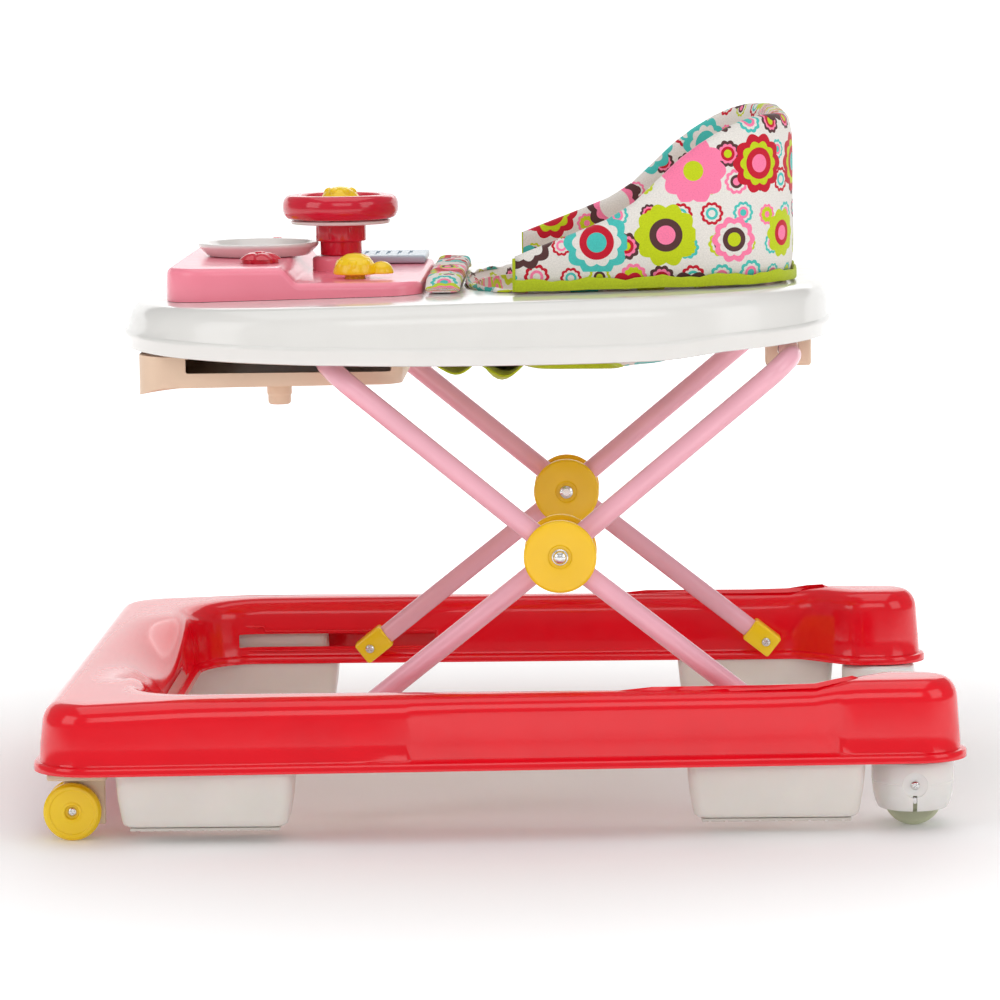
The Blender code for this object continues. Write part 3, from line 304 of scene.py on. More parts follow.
def rail_half():
    """Outer and inner edge of one half of the U, from the front middle to the rear end."""
    along = [-0.305, -0.285, -0.230, -0.170, -0.110, -0.069, -0.065, -0.020, 0.040, 0.100, 0.160, 0.200]
    behind = [0.235, 0.244, 0.253, 0.257, 0.266, 0.278, 0.290, 0.301]

    def outer_y(x):
        return BASE_HALF - 0.028 * (x + 0.305) / 0.615

    outer = run((BASE_FRONT, 0), (BASE_FRONT, BASE_HALF - CORNER), 12)
    outer += arc((BASE_FRONT + CORNER, BASE_HALF - CORNER), (CORNER, CORNER), 180, 90, 12)
    outer += [(x, outer_y(x)) for x in along + behind]
    outer += arc(END_MIDDLE, (END, 0.0365), 90, 0, 10)
    bar_rear = BASE_FRONT + 0.084
    inner = run((bar_rear, 0), (bar_rear, 0.187), 12)
    inner += arc((bar_rear + 0.050, 0.187), (0.050, 0.050), 180, 90, 12)
    first = bar_rear + 0.050
    inner += [(first + (x + 0.305) * (0.235 - first) / 0.540, RAIL_INNER) for x in along]
    inner += [(x, RAIL_INNER - 0.038 * ease((x - 0.235) / 0.0577)) for x in behind]
    inner += arc(END_MIDDLE, (END, 0.0365), -90, 0, 10)
    return outer, inner, (0.350, 0.2355)


def hollow(x, y):
    """Depth of the foot hollow in the crossbar's rear half."""
    across = max(0.0, 1 - (y / HOLLOW_HALF) ** 2)
    return 0.030 * across ** 1.5 * ease((x + 0.322) / 0.050)


def base_shell():
    """The red shell with its lip, wall panels, hollow and rolled top edge."""
    outer, inner, tip = rail_half()
    outline = [(x, -y) for x, y in reversed(outer[1:])] + outer + [tip]
    outline += list(reversed(inner)) + [(x, -y) for x, y in inner[1:]] + [(tip[0], -tip[1])]
    count = len(outline)
    half = len(outer)
    first = 2 * half - 1
    normals = []
    for i in range(count):
        way = (Vector(outline[(i + 1) % count]) - Vector(outline[i - 1])).normalized()
        normals.append(Vector((-way.y, way.x)))

    def panel(i):
        """How far the long middle panel of the outer wall is set in."""
        x, y = outline[i]
        if i >= first or abs(y) < 0.24:
            return 0.0
        return 0.0020 * ease((x + 0.069) / 0.004) * (1 - ease((x - 0.253) / 0.004))

    def loop(inset, height, sunk=0.0):
        points = []
        for i in range(count):
            (x, y), normal = outline[i], normals[i]
            depth = inset + sunk * panel(i)
            px = x - depth * normal.x
            py = y - depth * normal.y
            z = height if height > 0 else base_top(px) + height
            if height <= 0 and abs(py) < HOLLOW_HALF and px < HOLLOW_REAR:
                z -= hollow(px, py) * (1 if i >= first or inset > 0.006 else 0)
            points.append((px, py, z))
        return points

    sections = [(0.0, BASE_EDGE, 0), (0.0, BASE_EDGE + 0.0045, 0), (0.0007, BASE_EDGE + 0.0058, 0),
                (0.0022, BASE_EDGE + 0.0065, 0), (0.0040, BASE_EDGE + 0.0068, 0),
                (0.0045, BASE_EDGE + 0.0082, 1), (0.0052, BASE_EDGE + 0.020, 1)]
    sections += [(0.0070, -0.0165, 1)]
    for step in range(1, 8):
        angle = math.pi / 2 * step / 7
        sections.append((0.0070 + 0.0145 * (1 - math.cos(angle)), -0.0165 * (1 - math.sin(angle)) - 0.00001,
                         max(0.0, 1 - step / 4)))
    bm = bmesh.new()
    rows = [[bm.verts.new(point) for point in loop(*section)] for section in sections]
    for lower, upper in zip(rows, rows[1:]):
        for i in range(count):
            j = (i + 1) % count
            bm.faces.new((lower[i], lower[j], upper[j], upper[i]))
    top = rows[-1]
    across = 5
    strips = [top[:first]]
    opposite = [top[(count - 2 - i) % count] for i in range(first)]
    for step in range(1, across):
        strip = []
        for near, far in zip(strips[0], opposite):
            spot = near.co.lerp(far.co, step / across)
            spot.z = base_top(spot.x) - (hollow(spot.x, spot.y) if spot.x < HOLLOW_REAR else 0.0)
            strip.append(bm.verts.new(spot))
        strips.append(strip)
    strips.append(opposite)
    for near, far in zip(strips, strips[1:]):
        for i in range(first - 1):
            bm.faces.new((near[i], near[i + 1], far[i + 1], far[i]))
    for end, tip_vert in ((0, top[count - 1]), (first - 1, top[first])):
        ring = [strip[end] for strip in strips]
        for a, b in zip(ring, ring[1:]):
            bm.faces.new((a, b, tip_vert))
    bmesh.ops.recalc_face_normals(bm, faces=bm.faces)
    return walled(from_bmesh(bm, "red_base_shell"), 0.0028, even=False)


def solid_copy(obj):
    """The piece with its modifiers made part of its mesh."""
    if obj.name not in bpy.context.scene.collection.objects:
        bpy.context.scene.collection.objects.link(obj)
    depsgraph = bpy.context.evaluated_depsgraph_get()
    mesh = bpy.data.meshes.new_from_object(obj.evaluated_get(depsgraph))
    name = obj.name
    bpy.data.objects.remove(obj, do_unlink=True)
    made = bpy.data.objects.new(name, mesh)
    bpy.context.scene.collection.objects.link(made)
    return made


def cut(obj, tool, operation="DIFFERENCE"):
    """Cut a tool from a piece, or weld it on, and drop the tool."""
    for item in (obj, tool):
        if item.name not in bpy.context.scene.collection.objects:
            bpy.context.scene.collection.objects.link(item)
    modifier = obj.modifiers.new("cut", "BOOLEAN")
    modifier.operation = operation
    modifier.object = tool
    made = solid_copy(obj)
    bpy.data.objects.remove(tool, do_unlink=True)
    return made


def slab(name, low, high, bevel=0.0, segments=4):
    """A box between two corners with rounded edges, kept in the walker's own frame."""
    low = Vector(low)
    high = Vector(high)
    bm = bmesh.new()
    place = Matrix.Translation((low + high) / 2) @ Matrix.Diagonal((*(high - low), 1.0))
    bmesh.ops.create_cube(bm, size=1.0, matrix=place)
    if bevel:
        bmesh.ops.bevel(bm, geom=bm.edges[:], offset=bevel, segments=segments, profile=0.5, affect="EDGES",
                        clamp_overlap=True)
    return from_bmesh(bm, name)


RED = plastic("glossy_red_polypropylene", (0.87, 0.003, 0.014), 0.12, grain=0.05, coat=0.1)
PIN_Z = 0.0735
shell = base_shell()
for side, sign in SIDES:
    middle = sign * (RAIL_INNER + 0.0085)
    slot_cut = slab("slot_cut", (-0.237, middle - 0.011, PIN_Z - 0.0056),
                    (-0.069, middle + 0.011, PIN_Z + 0.0056), 0.001, 2)
    shell = cut(shell, slot_cut)
shown(shell, "red_base_shell", RED, "base", ("base_shell",), 35)

for side, sign in SIDES:
    rim = bpy.data.curves.new(f"slot_rim_{side}", "CURVE")
    rim.dimensions = "3D"
    rim.bevel_depth = 0.0013
    rim.bevel_resolution = 3
    spline = rim.splines.new("POLY")
    corners = [(-0.240, 0.0645), (-0.2405, 0.0855), (-0.216, 0.0855), (-0.214, 0.0815), (-0.067, 0.0815),
               (-0.066, 0.0655)]
    spline.points.add(len(corners) - 1)
    for spot, (x, z) in zip(spline.points, corners):
        spot.co = (x, sign * (RAIL_INNER + 0.0040 + 0.055 * (z - 0.06)), z, 1.0)
    spline.use_cyclic_u = True
    shown(bpy.data.objects.new(f"slot_rim_{side}", rim), f"slot_rim_{side}", RED, "base")


# ---- anti-fall blocks ----
# Four hollow blow-moulded boxes in natural polypropylene hang under the rails. When a caster drops over a
# step they land on the floor, and the thin ribbed rubber pad under each one grips it.
def oblong(middle_x, middle_y, half_x, half_y, radius, steps=6):
    """Points round an oblong with round corners."""
    points = []
    for quarter, (sx, sy) in enumerate(((1, 1), (-1, 1), (-1, -1), (1, -1))):
        for step in range(steps + 1):
            angle = math.pi / 2 * (quarter + step / steps)
            points.append((middle_x + sx * (half_x - radius) + radius * math.cos(angle),
                           middle_y + sy * (half_y - radius) + radius * math.sin(angle)))
    return points


NATURAL = plastic("natural_polypropylene", (0.80, 0.755, 0.70), 0.32, grain=0.35, subsurface=0.12)
PAD = plastic("grip_pad_rubber", (0.66, 0.61, 0.56), 0.6, grain=0.6)
for row in ("front", "rear"):
    for side, sign in SIDES:
        low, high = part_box(f"anti_fall_block_{row}_{side}")
        middle = ((low[0] + high[0]) / 2, (low[1] + high[1]) / 2)
        half = ((high[0] - low[0]) / 2, (high[1] - low[1]) / 2)
        loops = []
        for z, inset, radius in ((low[2], 0.0075, 0.006), (low[2] + 0.0006, 0.0052, 0.007),
                                 (low[2] + 0.0022, 0.0036, 0.008), (low[2] + 0.006, 0.0028, 0.0085),
                                 (0.034, 0.0012, 0.009), (0.0500, 0.0004, 0.009), (0.0534, 0.0, 0.009),
                                 (0.0536, 0.0085, 0.006), (high[2], 0.0105, 0.005)):
            loops.append([(x, y, z)
                          for x, y in oblong(middle[0], middle[1],
                                             half[0] - inset * 1.6 if z < 0.05 else half[0] - inset,
                                             half[1] - inset, radius)])
        box = skin(f"step_block_{row}_{side}", loops, cap_first=True, cap_last=True)
        shown(box, f"step_block_{row}_{side}", NATURAL, "base", (f"anti_fall_block_{row}_{side}",),
              40)
        low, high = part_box(f"grip_pad_{row}_{side}")
        pad = slab(f"ribbed_pad_{row}_{side}", low, high, 0.0009)
        ribs = 9
        for number in range(ribs):
            x = low[0] + (high[0] - low[0]) * (number + 0.5) / ribs
            groove = slab("groove", (x - 0.001, low[1] - 0.001, low[2] - 0.001),
                          (x + 0.001, high[1] + 0.001, low[2] + 0.0008))
            pad = cut(pad, groove)
        shown(pad, f"ribbed_pad_{row}_{side}", PAD, "base", (f"grip_pad_{row}_{side}",), 40)


# ---- casters ----
# Front: a moulded fork swivels in a socket and carries a twin wheel on a screwed axle. Rear: a domed
# housing with an arched recess hides a fixed wheel. All are plain injection mouldings, snapped in.
def fillet(profile, radius, steps=4):
    """A profile with each inner corner rounded."""
    points = [Vector(profile[0])]
    for before, corner, after in zip(profile, profile[1:], profile[2:]):
        corner = Vector(corner)
        back = Vector(before) - corner
        ahead = Vector(after) - corner
        reach = min(radius, back.length * 0.45, ahead.length * 0.45)
        start = corner + back.normalized() * reach
        end = corner + ahead.normalized() * reach
        for step in range(steps + 1):
            share = step / steps
            points.append(start.lerp(corner, share).lerp(corner.lerp(end, share), share))
    points.append(Vector(profile[-1]))
    return points


def turned(name, profile, centre, facing="Z", rounding=0.0006, steps=64, ring=False):
    """A piece turned from a profile of (radius, height), in the walker's own frame."""
    if ring:
        closed = fillet([profile[-1]] + list(profile) + [profile[0]], rounding)[1:-1]
    else:
        closed = fillet(profile, rounding)
    axes = {"Z": ((1, 0, 0), (0, 1, 0), (0, 0, 1)), "Y": ((1, 0, 0), (0, 0, -1), (0, 1, 0)),
            "-Y": ((1, 0, 0), (0, 0, 1), (0, -1, 0))}[facing]
    across, side, up = (Vector(axis) for axis in axes)
    centre = Vector(centre)
    bm = bmesh.new()
    rings = []
    for radius, height in closed:
        if radius < 1e-6:
            rings.append([bm.verts.new(centre + up * height)])
            continue
        ring_points = []
        for step in range(steps):
            angle = 2 * math.pi * step / steps
            ring_points.append(bm.verts.new(centre + up * height + across * radius * math.cos(angle)
                                            + side * radius * math.sin(angle)))
        rings.append(ring_points)
    pairs = list(zip(rings, rings[1:]))
    if ring:
        pairs.append((rings[-1], rings[0]))
    for first, second in pairs:
        for step in range(steps):
            after = (step + 1) % steps
            if len(first) == 1 and len(second) == 1:
                continue
            if len(first) == 1:
                bm.faces.new((first[0], second[after], second[step]))
            elif len(second) == 1:
                bm.faces.new((first[step], first[after], second[0]))
            else:
                bm.faces.new((first[step], first[after], second[after], second[step]))
    bmesh.ops.recalc_face_normals(bm, faces=bm.faces)
    return from_bmesh(bm, name)


def brushed(name, colour, roughness):
    """Bright plated steel with fine turning marks."""
    g = Graph(name)
    marks = g.noise(g.node("ShaderNodeTexCoord").outputs["Object"], 700.0, 4.0)
    tint = g.node("ShaderNodeValToRGB", {"Fac": marks})
    dark, light = tint.color_ramp.elements
    dark.color = (*[c * 0.88 for c in colour], 1.0)
    light.color = (*colour, 1.0)
    g.surface(Metallic=1.0, Base_Color=tint.outputs["Color"],
              Roughness=g.mapped(marks, To_Min=roughness, To_Max=roughness + 0.15))
    return g.material


def screw(name, centre, facing, radius, height, body, replaced=(), shank=0.004):
    """A pan-head screw with a cross recess."""
    head = turned(name,
                  [(0, height), (radius * 0.55, height * 0.95), (radius * 0.9, height * 0.55),
                   (radius, 0.0003), (radius * 0.4, 0.0003), (radius * 0.4, -shank), (0, -shank)], centre,
                  facing, 0.0004, 40)
    sign = 1 if facing == "Y" else -1
    reach = radius * 0.55
    for tilt in (math.pi / 4, -math.pi / 4):
        bm = bmesh.new()
        bmesh.ops.create_cube(bm, size=1.0,
                              matrix=Matrix.Diagonal((reach * 2, height * 1.1, radius * 0.2, 1.0)))
        turn = Matrix.Rotation(tilt, 4, "Y")
        bmesh.ops.transform(bm,
                            matrix=Matrix.Translation(Vector(centre)
                                                      + Vector((0, sign * height, 0))) @ turn,
                            verts=bm.verts)
        head = cut(head, from_bmesh(bm, "recess"))
    return shown(head, name, STEEL, body, replaced, 40)


YELLOW = plastic("sunny_yellow_plastic", (1.0, 0.66, 0.004), 0.2, grain=0.15, coat=0.15)
STEEL = brushed("zinc_plated_steel", (0.80, 0.80, 0.79), 0.16)
# Painted shade: the fork is white plastic, coloured tan here for the shade it sits in under the base.
FORK_SHADE_TAN = plastic("white_fork_painted_shade", (0.78, 0.62, 0.45), 0.35, grain=0.35, subsurface=0.08)
FORK_X = -0.317
WHEEL_X = -0.321
WHEEL_R = 0.0218
CASTER_Y = 0.255
for side, sign in SIDES:
    facing = "Y" if sign > 0 else "-Y"
    y = sign * CASTER_Y
    low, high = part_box(f"front_caster_fork_{side}")
    hood_low = 2 * WHEEL_R + 0.0018
    fork = slab(f"caster_fork_{side}", (FORK_X - 0.0225, y - 0.0125, hood_low),
                (FORK_X + 0.0225, y + 0.0125, hood_low + 0.0055), 0.0018)
    web = slab("web", (WHEEL_X - 0.007, y - 0.0035, 0.011),
               (FORK_X + 0.020, y + 0.0035, hood_low + 0.001), 0.0012)
    fork = cut(fork, web, "UNION")
    fork = cut(fork,
               turned("stem",
                      [(0, high[2]), (0.005, high[2]), (0.005, hood_low + 0.004), (0, hood_low + 0.004)],
                      (FORK_X, y, 0), steps=40), "UNION")
    fork = cut(fork,
               turned("bore", [(0, 0.02), (0.0041, 0.02), (0.0041, -0.02), (0, -0.02)],
                      (WHEEL_X, y, WHEEL_R), facing, steps=40))
    shown(fork, f"caster_fork_{side}", FORK_SHADE_TAN, f"front_caster_{side}", (f"front_caster_fork_{side}",))
    low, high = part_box(f"front_caster_socket_{side}")
    socket = turned(f"caster_socket_{side}",
                    [(0.009, high[2]), (0.009, low[2]), (0.0057, low[2]), (0.0057, high[2])],
                    (FORK_X, y, 0), ring=True)
    shown(socket, f"caster_socket_{side}", NATURAL, "base", (f"front_caster_socket_{side}",))
    inside = 0.0043
    outside = inside + 0.0085
    r = WHEEL_R
    profile = [(0, 0.0015 - outside), (0.005, 0.0015 - outside), (0.0065, -outside + 0.0002),
               (0.0145, -outside + 0.0002), (0.0150, 0.0008 - outside), (0.0165, 0.0008 - outside),
               (0.0170, -outside), (r - 0.0022, -outside), (r, 0.0022 - outside), (r, -inside - 0.0015),
               (r - 0.0015, -inside), (0.0035, -inside), (0.0035, inside), (r - 0.0015, inside),
               (r, inside + 0.0015), (r, outside - 0.0022), (r - 0.0022, outside), (0.0170, outside),
               (0.0165, outside - 0.0006), (0.0078, outside - 0.0006), (0.0070, outside),
               (0.0056, outside), (0.0050, outside - 0.003), (0, outside - 0.003)]
    wheel = turned(f"twin_wheel_{side}", profile, (WHEEL_X, y, WHEEL_R), facing, 0.0007, 72)
    shown(wheel, f"twin_wheel_{side}", YELLOW, f"front_wheel_{side}", (f"front_wheel_{side}",))
    screw(f"wheel_screw_{side}", (WHEEL_X, y + sign * (outside - 0.003), WHEEL_R), facing, 0.0036, 0.002,
          f"front_wheel_{side}", (f"front_axle_screw_{side}",), 0.001)

DOME = plastic("rear_dome_plastic", (0.86, 0.84, 0.81), 0.18, grain=0.2, subsurface=0.1)
# Painted shade: the roller's olive is the dark shade on the wheel hidden under its dome, painted into its
# colour.
ROLLER_SHADE_OLIVE = plastic("rear_roller_painted_shade", (0.62, 0.64, 0.44), 0.4, grain=0.4)
DOME_X = 0.310
DOME_Y = 0.226
DOME_R = 0.031
for side, sign in SIDES:
    facing = "Y" if sign > 0 else "-Y"
    y = sign * DOME_Y
    low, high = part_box(f"rear_caster_housing_{side}")
    wall = 0.0022
    profile = [(0, high[2]), (0.016, high[2]), (0.016, 0.0532), (0.0275, 0.0527), (0.0306, 0.0505),
               (DOME_R, 0.047), (DOME_R, 0.0352), (0.0306, 0.0345), (0.0308, 0.0335), (0.0300, 0.0255),
               (0.0282, 0.0185), (0.0262, 0.0142), (0.0248, 0.0136), (0.0236, 0.0142), (0.0262, 0.0195),
               (0.0283, 0.0260), (0.0287, 0.034), (0.0287, 0.046), (0.0265, 0.0502), (0, 0.0515)]
    housing = turned(f"dome_housing_{side}", profile, (DOME_X, y, 0), "Z", 0.0010, 72)
    recess = turned("recess", [(0, 0.050), (0.0115, 0.050), (0.0095, DOME_R - 0.0020), (0, DOME_R - 0.0020)],
                    (DOME_X, y, 0.0345), facing, 0.0005, 48)
    housing = cut(housing, recess)
    slot_low = slab("slot", (DOME_X - 0.0016, min(y, y + sign * 0.04), 0.010),
                    (DOME_X + 0.0016, max(y, y + sign * 0.04), 0.0265))
    housing = cut(housing, slot_low)
    shown(housing, f"dome_housing_{side}", DOME, "base", (f"rear_caster_housing_{side}",),
          35)
    half = 0.007
    wheel = turned(f"rear_roller_{side}",
                   [(0.0195, half), (0.0225, half - 0.0025), (0.0225, 0.0025 - half), (0.0195, -half),
                    (0.0120, -half), (0.0110, 0.0015 - half), (0.0032, 0.0015 - half),
                    (0.0032, half - 0.0015), (0.0110, half - 0.0015), (0.0120, half)],
                   (DOME_X, y, 0.0225), facing, 0.0008, 72, ring=True)
    shown(wheel, f"rear_roller_{side}", ROLLER_SHADE_OLIVE, f"rear_wheel_{side}", (f"rear_wheel_{side}",))
    axle = turned(f"rear_axle_pin_{side}", [(0, 0.0270), (0.0025, 0.0270), (0.0025, -0.0280), (0, -0.0280)],
                  (DOME_X, y, 0.0225), facing, 0.0005, 40)
    shown(axle, f"rear_axle_pin_{side}", STEEL, "base", (f"rear_axle_{side}",))
    screw(f"dome_screw_{side}", (DOME_X, y + sign * (DOME_R - 0.0020), 0.0345), facing, 0.0036, 0.0026,
          "base", (f"rear_housing_screw_{side}",), 0.004)


# ---- folding frame ----
# Two U-frames bent from 16 mm steel tube and powder-coated pink cross at the hubs. Yellow nylon caps plug
# the lower ends: the outer frame's turn in the base, the inner frame's slide along the base's slots.
# Gloss powder coat: its bump is the slight orange peel that baking leaves.
TUBE_PINK = plastic("pink_powder_coat", (0.92, 0.46, 0.55), 0.2, coat=0.35, peel=(420.0, 1.0, 0.25, 0.0003))
TUBE_R = 0.008
HUB = Vector((0.046, 0, 0.206))
CROSS_Z = 0.3515


def tube_frame(name, leg_y, foot_x, top_x, body, node):
    """One U-frame: foot, hub, a bend into the crossbar, and the same again on the other side."""
    foot = Vector((foot_x, leg_y, PIN_Z))
    hub = Vector((HUB.x, leg_y, HUB.z))
    corner = Vector((top_x, leg_y, CROSS_Z))
    lower = (hub - foot).normalized()
    upper = (corner - hub).normalized()
    bend = 0.028
    middle = corner - upper * bend - Vector((0, bend, 0))
    half = [foot + lower * 0.0047]
    half += [foot.lerp(hub, share) for share in (0.3, 0.6, 0.85)]
    half += [hub - lower * 0.01, hub, hub + upper * 0.01]
    half += [hub.lerp(corner - upper * bend, share) for share in (0.3, 0.6, 0.9)]
    for step in range(13):
        angle = math.pi / 2 * step / 12
        half.append(middle + Vector((0, bend * math.cos(angle), 0)) + upper * bend * math.sin(angle))
    points = half + [Vector((p.x, -p.y, p.z)) for p in reversed(half)]
    curve = bpy.data.curves.new(name, "CURVE")
    curve.dimensions = "3D"
    curve.bevel_depth = TUBE_R
    curve.bevel_resolution = 12
    curve.use_fill_caps = True
    spline = curve.splines.new("POLY")
    spline.points.add(len(points) - 1)
    for spot, point in zip(spline.points, points):
        spot.co = (*point, 1.0)
    frame_tube = solid_copy(bpy.data.objects.new(name, curve))
    shown(frame_tube, name, TUBE_PINK, body, (node,))


tube_frame("outer_tube", 0.217, 0.214, -0.130, "outer_frame", "outer_frame_tube")
tube_frame("inner_tube", 0.200, -0.122, 0.222, "inner_frame", "inner_frame_tube")


def end_cap(name, sign, leg_y, foot_x, lean, body, nodes):
    """A cap round the tube's lower end, with a boss and a screw."""
    facing = "Y" if sign > 0 else "-Y"
    foot = Vector((foot_x, sign * leg_y, PIN_Z))
    cap = slab(name, (-0.0115, -0.010, -0.0100), (0.0155, 0.010, 0.0100), 0.0022, 5)
    place = Matrix.Translation(foot + Vector((math.cos(lean), 0, math.sin(lean))) * 0.0022)
    turn = place @ Matrix.Rotation(-lean, 4, "Y")
    cap.data.transform(turn)
    bore = turned("bore", [(0, 0.05), (0.0083, 0.05), (0.0083, 0.0042), (0, 0.0042)], (0, 0, 0), "Z",
                  0.0002, 48)
    bore.data.transform(Matrix.Translation(foot) @ Matrix.Rotation(math.pi / 2 - lean, 4, "Y"))
    cap = cut(cap, bore)
    boss_end = RAIL_INNER - 0.0006 - leg_y
    boss = turned("boss",
                  [(0, boss_end + 0.0085), (0.0046, boss_end + 0.0085), (0.0050, boss_end + 0.0075),
                   (0.0050, boss_end), (0.008, boss_end), (0.008, 0.008), (0, 0.008)], foot, facing,
                  0.0005, 48)
    cap = cut(cap, boss, "UNION")
    shown(cap, name, YELLOW, body, (nodes[0],), 35)
    screw(f"{name}_screw", foot - Vector((0, sign * 0.010, 0)), "-Y" if sign > 0 else "Y", 0.0040, 0.0028,
          body, (nodes[1],), 0.002)


LEAN = math.atan2(0.1325, 0.168)
HUB_YELLOW = plastic("amber_hub_plastic", (0.97, 0.58, 0.004), 0.22, grain=0.15, coat=0.1)
for side, sign in SIDES:
    end_cap(f"pivot_cap_{side}", sign, 0.217, 0.214, math.pi - LEAN, "outer_frame",
            (f"outer_frame_cap_{side}", f"outer_frame_cap_screw_{side}"))
    end_cap(f"sliding_cap_{side}", sign, 0.200, -0.122, LEAN, "inner_frame",
            (f"slider_cap_{side}", f"slider_cap_screw_{side}"))
    facing = "Y" if sign > 0 else "-Y"
    near = 0.2255
    far = near + 0.005
    r = 0.0275
    outer_disc = turned(f"outer_hub_disc_{side}",
                        [(r - 0.0016, far), (r, far - 0.0016), (r, near), (0.0034, near),
                         (0.0034, far - 0.0008), (0.0085, far - 0.0008), (0.0092, far)],
                        (HUB.x, 0, HUB.z), facing, 0.0007, 96, ring=True)
    shown(outer_disc, f"outer_hub_disc_{side}", HUB_YELLOW, "outer_frame", (f"hub_disc_outer_{side}",),
          30)
    low = 0.1865
    high = 0.1915
    inner_disc = turned(f"inner_hub_disc_{side}",
                        [(r, high), (r, low + 0.0016), (r - 0.0016, low), (0.0092, low),
                         (0.0085, low + 0.0008), (0.0034, low + 0.0008), (0.0034, high)],
                        (HUB.x, 0, HUB.z), facing, 0.0007, 96, ring=True)
    shown(inner_disc, f"inner_hub_disc_{side}", HUB_YELLOW, "inner_frame", (f"hub_disc_inner_{side}",),
          30)
    nut = [(0, far + 0.0062), (0.0022, far + 0.0059), (0.0042, far + 0.0046), (0.0050, far + 0.0028),
           (0.0052, far + 0.0012), (0.0062, far + 0.0010), (0.0062, far + 0.0003), (0.0030, far + 0.0003),
           (0.0030, low - 0.0003), (0.0055, low - 0.0003), (0.0055, low - 0.0018), (0.0035, low - 0.0030),
           (0, low - 0.0030)]
    bolt = turned(f"hub_bolt_with_nut_{side}", nut, (HUB.x, 0, HUB.z), facing, 0.0004, 64)
    shown(bolt, f"hub_bolt_with_nut_{side}", STEEL, "outer_frame", (f"hub_bolt_{side}",), 35)


# ---- tray ----
# One wide glossy white moulding with a deep rolled skirt, a bead along its lower edge and an opening for
# the seat. The pan under its front carries the track for the outer frame's crossbar; the pan and the clips
# are white plastic painted tan, the shade under the tray painted into their colour.
TRAY_FRONT = -0.294
TRAY_LENGTH = 0.552
TRAY_MIDDLE = TRAY_FRONT + TRAY_LENGTH / 2
TRAY_EDGE = 0.352        # lower edge of the skirt, which steps up by EDGE_STEP behind STEP_X
EDGE_STEP = 0.004
STEP_X = 0.12


def tray_top(x):
    """Height of the tray's top at x: it rises a little to the rear."""
    return 0.393 + 0.011 * (x - TRAY_FRONT) / TRAY_LENGTH


def squarish(middle_x, half_x, half_y, power, count):
    """Points round a superellipse, spread evenly along its edge."""
    dense = []
    total = count * 16
    for i in range(total):
        angle = 2 * math.pi * i / total
        c = math.cos(angle)
        s = math.sin(angle)
        dense.append((middle_x + half_x * math.copysign(abs(c) ** (2 / power), c),
                      half_y * math.copysign(abs(s) ** (2 / power), s)))
    lengths = [0.0]
    for i in range(total):
        a = dense[i]
        b = dense[(i + 1) % total]
        lengths.append(lengths[-1] + math.hypot(b[0] - a[0], b[1] - a[1]))
    points = []
    spot = 0
    for i in range(count):
        goal = lengths[-1] * i / count
        while lengths[spot + 1] < goal:
            spot += 1
        share = (goal - lengths[spot]) / max(1e-9, lengths[spot + 1] - lengths[spot])
        a = dense[spot % total]
        b = dense[(spot + 1) % total]
        points.append((a[0] + (b[0] - a[0]) * share, a[1] + (b[1] - a[1]) * share))
    return points


def tray():
    """The white tray with its bead, rolled edge and opening."""
    half_x = TRAY_LENGTH / 2
    half_y = 0.250
    count = 160
    loops = []
    rows = [(0.0020, 0.0, True), (0.0004, 0.0006, True), (0.0, 0.0022, True), (-0.0003, 0.0080, True),
            (-0.0010, 0.0098, True), (-0.0012, 0.0112, True), (-0.0006, 0.0126, True), (0.0006, 0.0138, True)]
    rows += [(0.0016, -0.0165, False)]
    for step in range(1, 9):
        angle = math.pi / 2 * step / 8
        rows.append((0.0016 + 0.0150 * (1 - math.cos(angle)), -0.0165 * (1 - math.sin(angle)), False))
    for inset, height, low in rows:
        points = []
        for x, y in squarish(TRAY_MIDDLE, half_x - inset, half_y - inset, 3.5, count):
            arch = 0.007 * ((x - TRAY_MIDDLE) / half_x) ** 2
            if low:
                z = TRAY_EDGE + EDGE_STEP * ease((x - STEP_X) / 0.06) + arch + height
            else:
                z = tray_top(x) + height
            points.append((x, y, z))
        loops.append(points)
    for outset, lift in ((0.0100, 0.0), (0.0045, -0.0003), (0.0018, -0.0016), (0.0006, -0.0045),
                         (0.0, -0.026)):
        loops.append([(x, y, tray_top(x) + lift)
                      for x, y in squarish(0.086, 0.114 + outset, 0.150 + outset, 3.0, count)])
    return walled(skin("white_tray", loops), 0.0025)


WHITE = plastic("glossy_white_plastic", (0.80, 0.785, 0.755), 0.14, grain=0.06, coat=0.2, mottling=0.015)
shown(tray(), "white_tray", WHITE, "tray", ("tray_shell",), 40)

# Painted shade: white plastic coloured tan for the shade under the tray, used for the pan, the latch peg and
# the clips.
UNDER_TRAY_SHADE_TAN = plastic("beige_plastic", (0.80, 0.58, 0.42), 0.38, grain=0.4)
TRACK_X = -0.130
LEDGE = 0.3505
PAN_BOTTOM = 0.333
PAN_NOSE = -0.237
outline = oblong((-0.274 - 0.073) / 2, 0, 0.1005, 0.185, 0.02, 8)
upper = oblong((-0.2455 - 0.074) / 2, 0, 0.08575, 0.184, 0.02, 8)
floor_outline = oblong((PAN_NOSE - 0.0745) / 2, 0, 0.08125, 0.1835, 0.02, 8)


def pan_edge(points, height, droop):
    """Points of the pan's lower edge, which droops towards its nose."""
    return [(x, y, height - droop * max(0.0, (PAN_NOSE - x) / 0.037) ** 2) for x, y in points]


def pan_arch(x):
    """How far the tray's lower edge has risen at x, which the pan's ledge follows."""
    return 0.007 * ((x - TRAY_MIDDLE) / 0.276) ** 2


